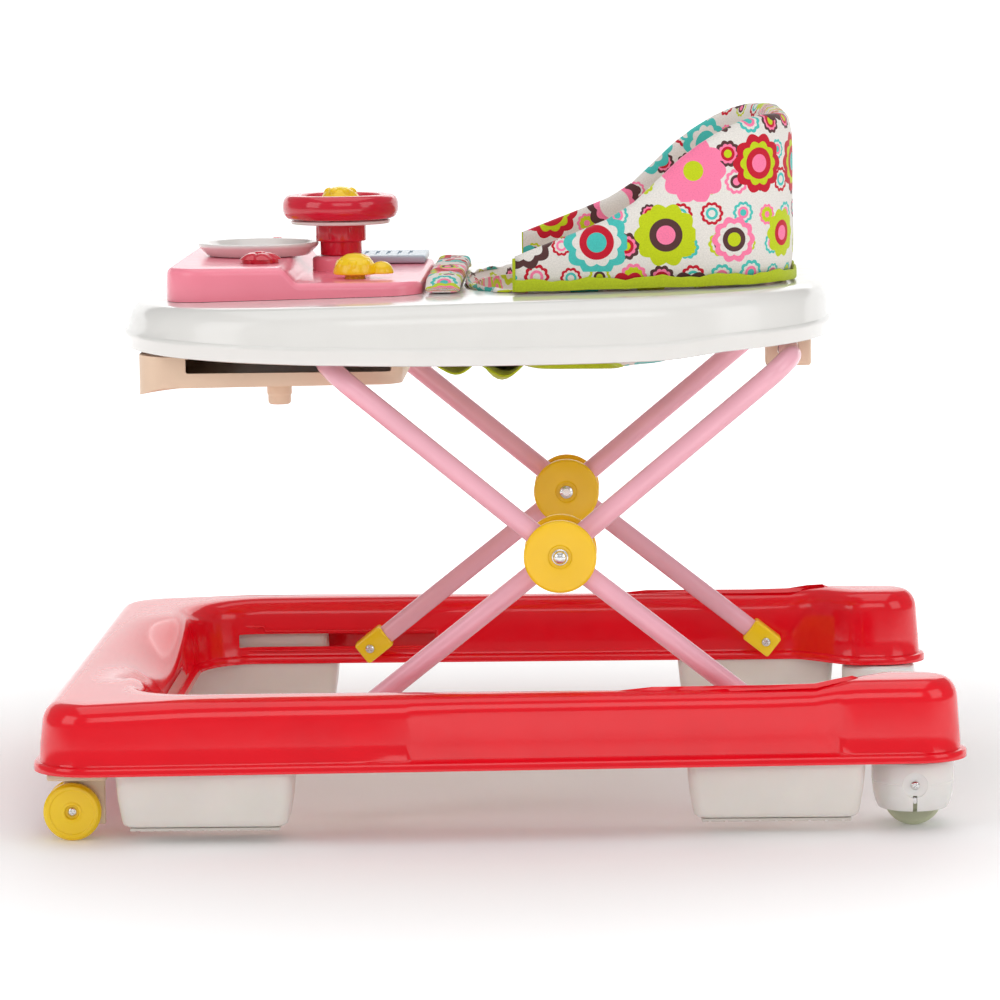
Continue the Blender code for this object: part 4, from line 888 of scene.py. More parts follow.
pan_loops = [pan_edge(floor_outline, PAN_BOTTOM, 0.0),
             pan_edge(oblong(-0.1735, 0, 0.1000, 0.1845, 0.0195, 8), PAN_BOTTOM + 0.0002, 0.0075),
             pan_edge(outline, PAN_BOTTOM + 0.0012, 0.0085),
             [(x, y, 0.3400) for x, y in outline],
             [(x, y, LEDGE + pan_arch(x)) for x, y in outline],
             [(x, y, LEDGE + 0.0006 + pan_arch(x)) for x, y in upper],
             [(x, y, tray_top(x) - 0.0042) for x, y in upper]]
pan = walled(skin("track_pan_painted_shade", pan_loops, cap_first=True), 0.0025)
for side, sign in SIDES:
    pan = cut(pan, slab("track_slot", (TRACK_X - 0.107, sign * 0.184 - 0.006, CROSS_Z - 0.0086),
                        (TRACK_X + 0.049, sign * 0.184 + 0.006, CROSS_Z + 0.0086), 0.0015, 2))
peg_hole = [(0, 0.345), (0.0046, 0.345), (0.0046, 0.32), (0, 0.32)]
pan = cut(pan, turned("peg_hole", peg_hole, (-0.1685, -0.150, 0), steps=40))
shown(pan, "track_pan_painted_shade", UNDER_TRAY_SHADE_TAN, "tray", ("track_pan",), 35)
peg_profile = [(0, 0.0065), (0.0032, 0.0065), (0.0040, 0.005), (0.0040, -0.001), (0.0095, -0.0012),
               (0.0095, -0.0090), (0.0088, -0.0100), (0.0088, -0.0155), (0.0075, -0.0170), (0, -0.0170)]
peg = turned("latch_peg", peg_profile, (-0.1685, -0.150, PAN_BOTTOM), "Z", 0.0008)
shown(peg, "latch_peg", UNDER_TRAY_SHADE_TAN, "height_latch", ("height_latch_peg",))
for side, sign in SIDES:
    low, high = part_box(f"rear_clip_{side}")
    clip = slab(f"bearing_clip_{side}", low, high, 0.0022)
    clip = cut(clip, turned("bore", [(0, 0.03), (0.0084, 0.03), (0.0084, -0.03), (0, -0.03)],
                            (0.222, (low[1] + high[1]) / 2, CROSS_Z), "Y", 0.0002, 48))
    shown(clip, f"bearing_clip_{side}", UNDER_TRAY_SHADE_TAN, "tray", (f"rear_clip_{side}",), 35)


# ---- toy panel ----
# A pink play panel clips on the tray's front. It carries a white dish with a turning knob, two ruby flower
# buttons, a yellow cloud button, a music box and the steering column; all are snap-fitted mouldings.
PANEL_FRONT = -0.256
PANEL_REAR = -0.059
FLOWER_X = -0.1865
CLOUD = Vector((-0.112, -0.100, 0.0))
STEER_X = -0.1287


def panel_top(x):
    """Height of the panel at x: a raised front half that falls to a lower rear half."""
    return 0.408 + 0.012 * (1 - ease((x + 0.168) / 0.015))


def toy_panel():
    """The pink panel with rolled edges and round corners."""
    corner = 0.030
    roll = 0.0055
    stops = [0, 0.0006, 0.0018, 0.0035, 0.006, 0.010, 0.015, 0.020, 0.026, 0.031, 0.045, 0.060, 0.075, 0.085]
    length = PANEL_REAR - PANEL_FRONT
    stops += [0.0865 + 0.0018 * step for step in range(11)] + [0.112, 0.130, 0.150]
    stops += [length - s
              for s in reversed([0, 0.0006, 0.0018, 0.0035, 0.006, 0.010, 0.015, 0.020, 0.026, 0.031])]
    loops = []
    for distance in stops:
        x = PANEL_FRONT + distance
        end = min(distance, length - distance)
        inward = max(0.0, corner - end)
        half = 0.150 - corner + math.sqrt(max(0.0, corner ** 2 - inward ** 2)) if inward else 0.150
        half = max(half, 0.1215)
        sink = max(0.0, roll - end)
        drop = roll - math.sqrt(max(0.0, roll ** 2 - sink ** 2))
        low = tray_top(x) + 0.0003
        top = panel_top(x) - drop
        loop = [(x, -half, low), (x, -half, (low + top - roll) / 2)]
        for step in range(7):
            angle = math.pi / 2 * step / 6
            loop.append((x, -half + roll * (1 - math.cos(angle)), top - roll * (1 - math.sin(angle))))
        loop += [(x, y, top + 0.0004 * (1 - (y / 0.15) ** 2))
                 for y in (-0.115, -0.08, -0.04, 0, 0.04, 0.08, 0.115)]
        loop += [(x, -y, z) for x, y, z in reversed(loop[:9])]
        loops.append(loop)
    return walled(skin("pink_play_panel", loops, cap_first=True, cap_last=True, closed=False), 0.003)


TOY_PINK = plastic("bubblegum_pink_plastic", (1.0, 0.27, 0.36), 0.2, grain=0.1, coat=0.15)
RUBY = plastic("ruby_red_plastic", (0.66, 0.006, 0.03), 0.14, grain=0.08, coat=0.3)
panel = toy_panel()
panel = cut(panel,
            turned("boss",
                   [(0, 0.420), (0.020, 0.420), (0.0226, 0.4185), (0.023, 0.4165), (0.023, 0.4065),
                    (0, 0.4065)], (STEER_X, 0, 0), rounding=0.001), "UNION")
for x, y, r in ((FLOWER_X, -0.09, 0.0151), (FLOWER_X, 0.09, 0.0151), (CLOUD.x, CLOUD.y, 0.0086),
                (STEER_X, 0, 0.0086)):
    panel = cut(panel, turned("hole", [(0, 0.44), (r, 0.44), (r, 0.402), (0, 0.402)], (x, y, 0), steps=64))
shown(panel, "pink_play_panel", TOY_PINK, "tray", ("toy_panel",), 35)

DISH_X = -0.1945
low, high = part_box("toy_dish")
z = low[2]
dish = turned("white_dish",
              [(0, z + 0.0030), (0.030, z + 0.0032), (0.037, z + 0.0050), (0.0445, z + 0.0105),
               (0.048, z + 0.0105), (0.0480, z + 0.0078), (0.040, z), (0, z)], (DISH_X, 0, 0), "Z",
              0.0012, 96)
shown(dish, "white_dish", WHITE, "tray", ("toy_dish",))
low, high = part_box("dish_spinner")
knob = turned("dish_knob",
              [(0, high[2]), (0.0070, high[2] - 0.0003), (0.0125, high[2] - 0.0016),
               (0.0145, low[2] + 0.0006), (0.0140, low[2]), (0, low[2])], (DISH_X, 0, 0), "Z", 0.0008)
for number in range(3):
    angle = 2 * math.pi * number / 3
    spot = (DISH_X + 0.0085 * math.cos(angle), 0.0085 * math.sin(angle), high[2] + 0.0009)
    knob = cut(knob,
               turned("finger_dip", [(0, 0.001), (0.0026, 0.001), (0.0012, -0.0016), (0, -0.0019)], spot,
                      steps=24))
shown(knob, "dish_knob", YELLOW, "dish_spinner", ("dish_spinner",))


def petal_button(name, centre, radius, petals, low, height):
    """A domed flower with raised petals and a stud in the middle."""
    rings = 14
    around = 96
    loops = []
    stem = 0.0145
    for z in (low - 0.009, low + 0.0031):
        loops.append([(centre[0] + stem * math.cos(2 * math.pi * i / around),
                       centre[1] + stem * math.sin(2 * math.pi * i / around), z) for i in range(around)])
    for step in range(rings + 1):
        share = 1 - step / rings
        loop = []
        for i in range(around):
            angle = 2 * math.pi * i / around
            lobe = abs(math.cos(petals / 2 * angle))
            reach = radius * share * (1 - 0.14 * share * (1 - lobe)) if step < rings else 0.0006
            rise = height * (1 - share ** 2.6)
            rise += 0.0010 * math.sin(math.pi * share) * lobe * min(1.0, share * 2)
            rise += 0.0014 * ease((0.28 - share) / 0.1)
            loop.append((centre[0] + reach * math.cos(angle), centre[1] + reach * math.sin(angle),
                         low + 0.0034 + rise))
        loops.append(loop)
    return skin(name, loops, cap_first=True, cap_last=True)


for side, sign in SIDES:
    flower = petal_button(f"ruby_flower_{side}", (FLOWER_X, sign * 0.09), 0.0170, 5, 0.420, 0.0045)
    shown(flower, f"ruby_flower_{side}", RUBY, f"flower_{side}", (f"flower_button_{side}",),
          60)

low = 0.4115
cloud = turned("cloud_button",
               [(0, low + 0.0165), (0.006, low + 0.0156), (0.0115, low + 0.0127), (0.0152, low + 0.0080),
                (0.0168, low + 0.003), (0.0170, low + 0.001), (0.0165, low), (0.008, low),
                (0.008, low - 0.010), (0, low - 0.010)], (CLOUD.x, CLOUD.y, 0), "Z", 0.0008, 72)
small = turned("small_dome",
               [(0, low + 0.0100), (0.005, low + 0.0089), (0.0083, low + 0.0055), (0.0095, low + 0.0012),
                (0.0092, low + 0.0003), (0, low + 0.0003)], (CLOUD.x + 0.0205, CLOUD.y, 0), "Z", 0.002,
               56)
cloud = cut(cloud, small, "UNION")
for number in range(5):
    angle = math.radians(110 + 52 * number)
    spot = (CLOUD.x + 0.0108 * math.cos(angle), CLOUD.y + 0.0108 * math.sin(angle), 0)
    bump = turned("bump",
                  [(0, low + 0.0122), (0.0035, low + 0.0112), (0.0055, low + 0.0075),
                   (0.0058, low + 0.0012), (0, low + 0.0012)], spot, "Z", 0.0015, 40)
    cloud = cut(cloud, bump, "UNION")
shown(cloud, "cloud_button", YELLOW, "dome_toy", ("dome_toy",), 50)

PALE = plastic("pale_blue_plastic", (0.50, 0.60, 0.68), 0.25, grain=0.2)
low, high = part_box("music_box")
music = slab("music_box_case", low, high, 0.0022)
for number in range(6):
    x = low[0] + 0.014 + 0.009 * number
    music = cut(music,
                slab("sound_slot", (x - 0.0014, low[1] + 0.016, high[2] - 0.0015),
                     (x + 0.0014, high[1] - 0.016, high[2] + 0.001), 0.0006, 2))
shown(music, "music_box_case", PALE, "tray", ("music_box",))


# ---- steering wheel ----
# A stepped red column turns in the panel. On it sit a white disc, a red rim with three spokes, and a
# yellow horn button that clicks down in the middle.
column_top = 0.445
column = turned("steering_column_red",
                [(0, column_top + 0.006), (0.011, column_top + 0.006), (0.011, column_top),
                 (0.020, column_top), (0.020, 0.4315), (0.0165, 0.4315), (0.0165, 0.4203),
                 (0.0075, 0.4203), (0.0075, 0.4038), (0, 0.4038)], (STEER_X, 0, 0), "Z", 0.0009, 80)
for number in range(8):
    angle = 2 * math.pi * (number + 0.5) / 8
    spot = (STEER_X + 0.0206 * math.cos(angle), 0.0206 * math.sin(angle), 0)
    column = cut(column,
                 turned("flute", [(0, 0.443), (0.0014, 0.443), (0.0014, 0.4335), (0, 0.4335)], spot,
                        steps=24))
shown(column, "steering_column_red", RUBY, "steering", ("steering_column",))
plate = turned("white_wheel_disc",
               [(0.037, column_top + 0.0036), (0.040, column_top + 0.0026), (0.039, column_top + 0.0003),
                (0.0113, column_top + 0.0003), (0.0113, column_top + 0.0036)], (STEER_X, 0, 0), "Z",
               0.0008, 96, ring=True)
shown(plate, "white_wheel_disc", WHITE, "steering", ("steering_under_plate",))
rim_profile = []
for step in range(24):
    angle = math.pi / 2 - 2 * math.pi * step / 24
    rim_profile.append((0.038 + 0.0080 * math.copysign(abs(math.cos(angle)) ** 0.8, math.cos(angle)),
                        0.45875 + 0.00975 * math.copysign(abs(math.sin(angle)) ** 0.8, math.sin(angle))))
rim = turned("red_wheel_rim", rim_profile, (STEER_X, 0, 0), "Z", 0.0, 96, ring=True)
hub_low = column_top + 0.0065
hub_top = 0.4605
rim = cut(rim,
          turned("hub", [(0.019, hub_top), (0.019, hub_low), (0.0045, hub_low), (0.0045, hub_top)],
                 (STEER_X, 0, 0), "Z", 0.0012, 64, ring=True), "UNION")
for number in range(3):
    angle = math.pi + 2 * math.pi * number / 3
    spoke = slab("spoke", (0.014, -0.006, hub_low + 0.0012), (0.036, 0.006, hub_low + 0.0060), 0.0015)
    spoke.data.transform(Matrix.Translation((STEER_X, 0, 0)) @ Matrix.Rotation(angle, 4, "Z"))
    rim = cut(rim, spoke, "UNION")
shown(rim, "red_wheel_rim", RUBY, "steering", ("steering_rim",), 45)
horn_low = hub_top + 0.0032
horn = turned("yellow_horn",
              [(0, horn_low + 0.0113), (0.006, horn_low + 0.0104), (0.0115, horn_low + 0.0075),
               (0.0150, horn_low + 0.0030), (0.0155, horn_low + 0.001), (0.0152, horn_low),
               (0.0038, horn_low), (0.0038, horn_low - 0.0060), (0, horn_low - 0.0060)], (STEER_X, 0, 0),
              "Z", 0.002, 72)
for number in range(6):
    angle = 2 * math.pi * number / 6
    spot = (STEER_X + 0.0088 * math.cos(angle), 0.0088 * math.sin(angle), horn_low - 0.0005)
    bump = turned("bump", [(0, 0.0108), (0.0030, 0.0097), (0.0046, 0.0068), (0.0048, 0.002), (0, 0.002)],
                  spot, "Z", 0.0015, 36)
    horn = cut(horn, bump, "UNION")
shown(horn, "yellow_horn", YELLOW, "horn", ("horn_button",), 50)


# ---- seat ----
# A padded cloth back wraps the rear of the tray. A thin sling with two leg holes hangs in the opening and a
# low pad fills its front. All are printed polyester cotton; the back and sling are bound in lime.
SEAT_MIDDLE = 0.086
SEAT_HALF_X = 0.114
SEAT_HALF_Y = 0.150


PRINT_PINK = (1.0, 0.22, 0.40)
PRINT_LIME = (0.56, 0.66, 0.01)
PRINT_TEAL = (0.07, 0.55, 0.50)
PRINT_CRIMSON = (0.58, 0.01, 0.03)
PRINT_BROWN = (0.10, 0.04, 0.04)
PRINT_GROUND = (0.82, 0.78, 0.73)


def flower_layer(g, base, pitch, turn, size, colours, under):
    """One layer of round printed flowers, each with nested scalloped rings, over the colour below it."""
    spread = g.node("ShaderNodeVectorMath", {0: base, "Scale": 1 / pitch}, operation="SCALE").outputs[0]
    rows = g.node("ShaderNodeSeparateXYZ", {0: spread})
    row = g.maths("FLOOR", rows.outputs[1])
    pushed = g.maths("ADD", rows.outputs[0], g.maths("MULTIPLY_ADD", row, 0.5 + turn, turn))
    column = g.maths("FLOOR", pushed)
    key = g.node("ShaderNodeCombineXYZ", {0: column, 1: row, 2: turn * 10.0}).outputs[0]
    dice = g.node("ShaderNodeTexWhiteNoise", {"Vector": key}, noise_dimensions="3D")
    chance = g.node("ShaderNodeSeparateColor", {0: dice.outputs["Color"]})
    across = g.maths("SUBTRACT", g.maths("FRACT", pushed),
                     g.maths("MULTIPLY_ADD", chance.outputs[0], 0.16, 0.42))
    upward = g.maths("SUBTRACT", g.maths("FRACT", rows.outputs[1]),
                     g.maths("MULTIPLY_ADD", chance.outputs[1], 0.16, 0.42))
    angle = g.maths("ARCTAN2", upward, across)
    lobes = g.maths("ABSOLUTE", g.maths("COSINE", g.maths("MULTIPLY", angle, 5.0)))
    reach = g.maths("SQRT",
                    g.maths("ADD", g.maths("MULTIPLY", across, across),
                            g.maths("MULTIPLY", upward, upward)))
    grown = g.maths("MULTIPLY_ADD", chance.outputs[2], 0.16, size)
    share = g.maths("DIVIDE", reach, grown)
    colour = under
    for number, edge in enumerate((1.0, 0.74, 0.52, 0.30)):
        scallop = 0.16 if number < 2 else 0.0
        shaped = g.maths("MULTIPLY", share, g.maths("MULTIPLY_ADD", lobes, -scallop, 1.0 + scallop))
        pick = g.maths("FRACT", g.maths("MULTIPLY_ADD", chance.outputs[0], 3.0, 0.37 * number))
        inside = g.maths("LESS_THAN", shaped, edge)
        colour = g.mixed(inside, colour, g.picked(pick, colours[number % len(colours)]))
    return colour


def woven(name, base, printed=True, bump=0.18, roughness=0.85):
    """Plain woven cotton: threads a third of a millimetre wide, a soft sheen, and the print if it has one."""
    g = Graph(name)
    if printed:
        place = g.node("ShaderNodeUVMap").outputs[0]
    else:
        place = g.node("ShaderNodeTexCoord").outputs["Object"]
    colour = base
    if printed:
        colour = (*base, 1.0)
        outer = (PRINT_PINK, PRINT_LIME, PRINT_CRIMSON, PRINT_TEAL, PRINT_PINK, PRINT_BROWN, PRINT_LIME)
        second = (PRINT_GROUND, PRINT_PINK, PRINT_GROUND, PRINT_LIME, PRINT_GROUND)
        third = (PRINT_CRIMSON, PRINT_TEAL, PRINT_GROUND, PRINT_PINK, PRINT_BROWN)
        heart = (PRINT_LIME, PRINT_PINK, PRINT_TEAL, PRINT_GROUND)
        spots = (PRINT_LIME, PRINT_PINK, PRINT_TEAL, PRINT_CRIMSON, PRINT_BROWN)
        colour = flower_layer(g, place, 0.0235, 0.31, 0.30, (spots, second, spots, heart), colour)
        colour = flower_layer(g, place, 0.0520, 0.0, 0.33, (outer, second, third, heart), colour)
    fleck = g.noise(place, 900.0, 2.0)
    shade = g.mapped(fleck, From_Min=0.3, From_Max=0.7, To_Min=0.90, To_Max=1.06)
    tinted = g.node("ShaderNodeVectorMath", {0: colour, "Scale": shade}, operation="SCALE").outputs[0]
    threads = []
    for way in ("X", "Y"):
        wave = g.node("ShaderNodeTexWave", {"Vector": place, "Scale": 470.0, "Distortion": 0.4},
                      bands_direction=way)
        threads.append(wave.outputs["Fac"])
    g.surface(Base_Color=tinted, Normal=g.bump(g.maths("MAXIMUM", *threads), bump, 0.0004),
              Roughness=roughness, Sheen_Weight=0.25, Sheen_Roughness=0.4, Specular_IOR_Level=0.25)
    return g.material


PRINT = woven("flower_print_cotton", PRINT_GROUND)
LIME = woven("lime_binding", (0.50, 0.60, 0.02), printed=False, bump=0.25)


def cloth_mesh(name, rows, uv_rows, closed_rows=False, closed_columns=False, caps=False):
    """A quad mesh from rows of points with their own UVs (the UVs are lengths in metres)."""
    bm = bmesh.new()
    grid = [[bm.verts.new(point) for point in row] for row in rows]
    layer = bm.loops.layers.uv.new("UVMap")
    count = len(rows)
    width = len(rows[0])
    for i in range(count if closed_rows else count - 1):
        for j in range(width if closed_columns else width - 1):
            corners = ((i, j), (i, j + 1), (i + 1, j + 1), (i + 1, j))
            face = bm.faces.new([grid[a % count][b % width] for a, b in corners])
            for loop, (a, b) in zip(face.loops, corners):
                uvs = uv_rows[a % count]
                if b < width:
                    loop[layer].uv = uvs[b]
                else:
                    loop[layer].uv = (2 * uvs[-1][0] - uvs[-2][0], 2 * uvs[-1][1] - uvs[-2][1])
    if caps:
        for row, number in ((grid[0], 0), (grid[-1], count - 1)):
            face = bm.faces.new(row if number else list(reversed(row)))
            for loop in face.loops:
                place = row.index(loop.vert)
                loop[layer].uv = uv_rows[number][place]
    bmesh.ops.recalc_face_normals(bm, faces=bm.faces)
    return from_bmesh(bm, name)


def path_frames(points, closed=False):
    """Unit directions along a path in plan and to its left, for sweeping a section round it."""
    frames = []
    count = len(points)
    for i in range(count):
        before = Vector(points[(i - 1) % count if closed else max(i - 1, 0)])
        after = Vector(points[(i + 1) % count if closed else min(i + 1, count - 1)])
        along = (after - before).normalized()
        frames.append((Vector((points[i][0], points[i][1])), Vector((along.y, -along.x))))
    return frames


def spaced(points, step):
    """The same path resampled to even spacing."""
    lengths = [0.0]
    for a, b in zip(points, points[1:]):
        lengths.append(lengths[-1] + (Vector(b) - Vector(a)).length)
    count = max(2, round(lengths[-1] / step))
    made = []
    k = 0
    for i in range(count + 1):
        target = lengths[-1] * i / count
        while k < len(lengths) - 2 and lengths[k + 1] < target:
            k += 1
        share = (target - lengths[k]) / max(1e-9, lengths[k + 1] - lengths[k])
        made.append(tuple(Vector(points[k]).lerp(Vector(points[k + 1]), share)))
    return made


BACK_FRONT = 0.013
BACK_REAR = 0.228
BACK_HALF = 0.170
BACK_CORNER = 0.070
BACK_THICK = 0.022


def back_top(x):
    """Height of the seat back's top edge at x: low wings that rise to a level rear."""
    stops = ((0.013, 0.428), (0.035, 0.4365), (0.060, 0.446), (0.085, 0.456), (0.104, 0.468),
             (0.120, 0.483), (0.138, 0.500), (0.155, 0.5125), (0.172, 0.5215), (0.190, 0.5285),
             (0.207, 0.5325), (0.228, 0.5335))
    for (xa, za), (xb, zb) in zip(stops, stops[1:]):
        if x <= xb:
            share = min(max((x - xa) / (xb - xa), 0.0), 1.0)
            return za + (zb - za) * share
    return stops[-1][1]


def back_path():
    """Outer edge of the seat back in plan, from the left wing round the rear to the right wing."""
    half = run((BACK_FRONT, BACK_HALF), (BACK_REAR - BACK_CORNER, BACK_HALF), 8)
    half += arc((BACK_REAR - BACK_CORNER, BACK_HALF - BACK_CORNER), (BACK_CORNER, BACK_CORNER), 90, 0, 20)
    half += run((BACK_REAR, BACK_HALF - BACK_CORNER), (BACK_REAR, 0), 6)
    whole = half + [(x, -y) for x, y in reversed(half[:-1])]
    return spaced(whole, 0.007)


def seat_back_cloth():
    """The padded back: its section swept round the tray, with tufts and gathers near the seams."""
    path = back_path()
    frames = path_frames(path)
    rows = []
    uv_rows = []
    travelled = 0.0
    for i, (spot, inward) in enumerate(frames):
        if i:
            travelled += (spot - frames[i - 1][0]).length
        low = tray_top(spot.x) + 0.0016
        top = back_top(spot.x) - 0.0004
        end = min(i, len(frames) - 1 - i)
        plump = ease(end / 4)
        row = []
        uvs = []
        run_up = 0.0
        previous = None
        half = BACK_THICK / 2
        tall = top - low
        for step in range(28):
            angle = 2 * math.pi * step / 28
            across = math.copysign(abs(math.cos(angle)) ** 0.55, math.cos(angle))
            upward = math.copysign(abs(math.sin(angle)) ** 0.62, math.sin(angle))
            squeeze = 0.80 + 0.20 * plump
            depth = half - half * across * squeeze
            z = low + tall / 2 + tall / 2 * upward
            wave = 0.5 + 0.5 * math.sin(travelled * 150 + 1.3 * math.sin(travelled * 37))
            seam = math.exp(-((z - low) / 0.012) ** 2)
            inner = 1.0 if across < -0.2 else (-1.0 if across > 0.2 else 0.0)
            depth += inner * -0.0011 * wave * seam * plump
            dimple = 0.0013 * (0.5 + 0.5 * math.sin(travelled * 46)) * math.exp(
                -((z - low - tall * 0.55) / 0.03) ** 2)
            depth -= inner * dimple * plump
            depth = min(max(depth, 0.0004), BACK_THICK - 0.0004)
            point = Vector((spot.x + inward.x * depth, spot.y + inward.y * depth, z))
            if previous is not None:
                run_up += (point - previous).length
            previous = point
            row.append(point)
            uvs.append((travelled, run_up))
        rows.append(row)
        uv_rows.append(uvs)
    obj = cloth_mesh("printed_seat_back", rows, uv_rows, closed_columns=True, caps=True)
    layer = obj.data.uv_layers["UVMap"].data
    for polygon in obj.data.polygons:
        steps = [obj.data.loops[k].vertex_index % 28 for k in polygon.loop_indices]
        middle = (min(steps) + max(steps)) / 2 if max(steps) - min(steps) < 14 else 27.5
        outside = middle < 7 or middle > 21
        for k in polygon.loop_indices:
            spot = obj.data.vertices[obj.data.loops[k].vertex_index].co
            along = spot.y if len(steps) > 4 else layer[k].uv[0]
            layer[k].uv = (along, spot.z if outside else 1.2 - spot.z)
    return obj, frames


def piping(name, points, radius=0.0016, closed=False):
    """A rounded cord of folded binding along a line of points."""
    curve = bpy.data.curves.new(name, "CURVE")
    curve.dimensions = "3D"
    curve.bevel_depth = radius
    curve.bevel_resolution = 4
    line = curve.splines.new("POLY")
    line.points.add(len(points) - 1)
    line.use_cyclic_u = closed
    for place, point in zip(line.points, points):
        place.co = (*point, 1.0)
    obj = bpy.data.objects.new(name, curve)
    return solid_copy(obj)


back, back_frames = seat_back_cloth()
shown(back, "printed_seat_back", PRINT, "tray", ("seat_back",), 80)


def back_line(outset, height, first=0, last=None, wave=0.0):
    """Points along the outer face of the seat back at a height above the tray."""
    points = []
    for i, (spot, inward) in enumerate(back_frames[first:last]):
        sway = wave * math.sin(i * 0.9) + 0.6 * wave * math.sin(i * 2.3 + 1.0)
        points.append(Vector((spot.x - inward.x * outset, spot.y - inward.y * outset,
                              tray_top(spot.x) + height + sway)))
    return points


def binding(name, lower, upper, thick):
    """A folded strip between two lines of points, with its long edges rounded."""
    rows = []
    for i, (a, b) in enumerate(zip(lower, upper)):
        nearby = lower[min(i + 1, len(lower) - 1)] - lower[max(i - 1, 0)]
        face = nearby.cross(b - a).normalized()
        row = []
        for step in range(12):
            angle = 2 * math.pi * step / 12
            share = 0.5 - 0.5 * math.copysign(abs(math.cos(angle)) ** 0.5, math.cos(angle))
            lift = thick / 2 * math.copysign(abs(math.sin(angle)) ** 0.7, math.sin(angle))
            row.append(a.lerp(b, share) + face * lift)
        rows.append(row)
    return skin(name, rows, cap_first=True, cap_last=True)


hem = binding("lime_seat_hem", back_line(0.0008, 0.0020, wave=0.0002),
              back_line(0.0004, 0.0105, wave=0.0012), 0.0022)
shown(hem, "lime_seat_hem", LIME, "tray")
for number, (spot, inward) in enumerate((back_frames[0], back_frames[-1])):
    side = SIDES[1 - number][0]
    cord = []
    for step in range(13):
        share = step / 12
        depth = 0.0010 + 0.0006 * math.sin(math.pi * share)
        cord.append((spot.x - 0.0004, spot.y + inward.y * depth, tray_top(spot.x) + 0.002 + 0.0255 * share))
    shown(piping(f"lime_wing_cord_{side}", cord, 0.0012), f"lime_wing_cord_{side}", LIME, "tray")


SLING_STOPS = ((0.0035, 0.3955, 0.0), (0.0045, 0.385, 0.0), (0.016, 0.364, 0.003), (0.045, 0.344, 0.012),
               (0.090, 0.333, 0.024), (0.145, 0.3302, 0.029))


def sling_cloth():
    """The hanging sling: an oval bag of thin cloth with soft creases that run down from its corners."""
    stations = []
    per_span = 6
    for k in range(len(SLING_STOPS) - 1):
        before = Vector(SLING_STOPS[max(k - 1, 0)])
        a = Vector(SLING_STOPS[k])
        b = Vector(SLING_STOPS[k + 1])
        after = Vector(SLING_STOPS[min(k + 2, len(SLING_STOPS) - 1)])
        for step in range(per_span):
            t = step / per_span
            m0 = (b - before) / 2
            m1 = (after - a) / 2
            stations.append(a * (2 * t ** 3 - 3 * t ** 2 + 1) + m0 * (t ** 3 - 2 * t ** 2 + t)
                            + b * (3 * t ** 2 - 2 * t ** 3) + m1 * (t ** 3 - t ** 2))
    stations.append(Vector(SLING_STOPS[-1]))
    around = 120
    rows = []
    for inset, z, forward in stations:
        half_x = max(0.012, SEAT_HALF_X - (inset if inset < 0.01 else 0.0025 + 0.75 * inset))
        half_y = max(0.004, SEAT_HALF_Y - inset)
        row = []
        for i, (x, y) in enumerate(squarish(SEAT_MIDDLE - forward, half_x, half_y, 2.6, around)):
            turn = 2 * math.pi * i / around
            deep = ease((0.385 - z) / 0.02) * ease((z - 0.3305) / 0.012)
            crease = 0.0011 * math.sin(turn * 13 + 40 * inset) + 0.0009 * math.sin(turn * 29 - 60 * inset)
            row.append(Vector((x, y, z + crease * deep)))
        rows.append(row)
    lengths = [0.0]
    for upper, lower in zip(rows, rows[1:]):
        lengths.append(lengths[-1] + sum((a - b).length for a, b in zip(upper, lower)) / around)
    uv_rows = []
    for k, row in enumerate(rows):
        out = lengths[-1] - lengths[k]
        middle = sum(row, Vector()) / around
        uvs = []
        for point in row:
            way = (point - middle).xy.normalized()
            uvs.append((way.x * (out + 0.01) + 0.5, way.y * (out + 0.01) + 0.3))
        uv_rows.append(uvs)
    bag = cloth_mesh("printed_sling", rows, uv_rows, closed_columns=True)
    bm = bmesh.new()
    bm.from_mesh(bag.data)
    bmesh.ops.holes_fill(bm,
                         edges=[edge for edge in bm.edges
                                if edge.is_boundary and edge.verts[0].co.z < 0.36])
    bmesh.ops.recalc_face_normals(bm, faces=bm.faces)
    bm.to_mesh(bag.data)
    bm.free()
    return solid_copy(walled(bag, 0.0024, even=False))


sling = sling_cloth()
LEG_X = SEAT_MIDDLE - 0.030
LEG_Y = 0.068
LEG_RADIUS = 0.036
for side, sign in SIDES:
    tool = turned("leg_cut", [(0, 0.352), (LEG_RADIUS, 0.352), (LEG_RADIUS, 0.322), (0, 0.322)],
                  (LEG_X, sign * LEG_Y, 0), rounding=0.0, steps=96)
    sling = cut(sling, tool)
shown(sling, "printed_sling", PRINT, "tray", ("seat_sling",), 80)

surface = BVHTree.FromObject(sling, bpy.context.evaluated_depsgraph_get())
for side, sign in SIDES:
    ring = []
    for step in range(72):
        angle = 2 * math.pi * step / 72
        x = LEG_X + (LEG_RADIUS + 0.0018) * math.cos(angle)
        y = sign * LEG_Y + (LEG_RADIUS + 0.0018) * math.sin(angle)
        hit = surface.ray_cast(Vector((x, y, 0.420)), Vector((0, 0, -1)))[0]
        ring.append((x, y, (hit.z if hit else 0.333) - 0.0008))
    shown(piping(f"lime_leg_binding_{side}", ring, 0.0030, closed=True), f"lime_leg_binding_{side}", LIME,
          "tray")


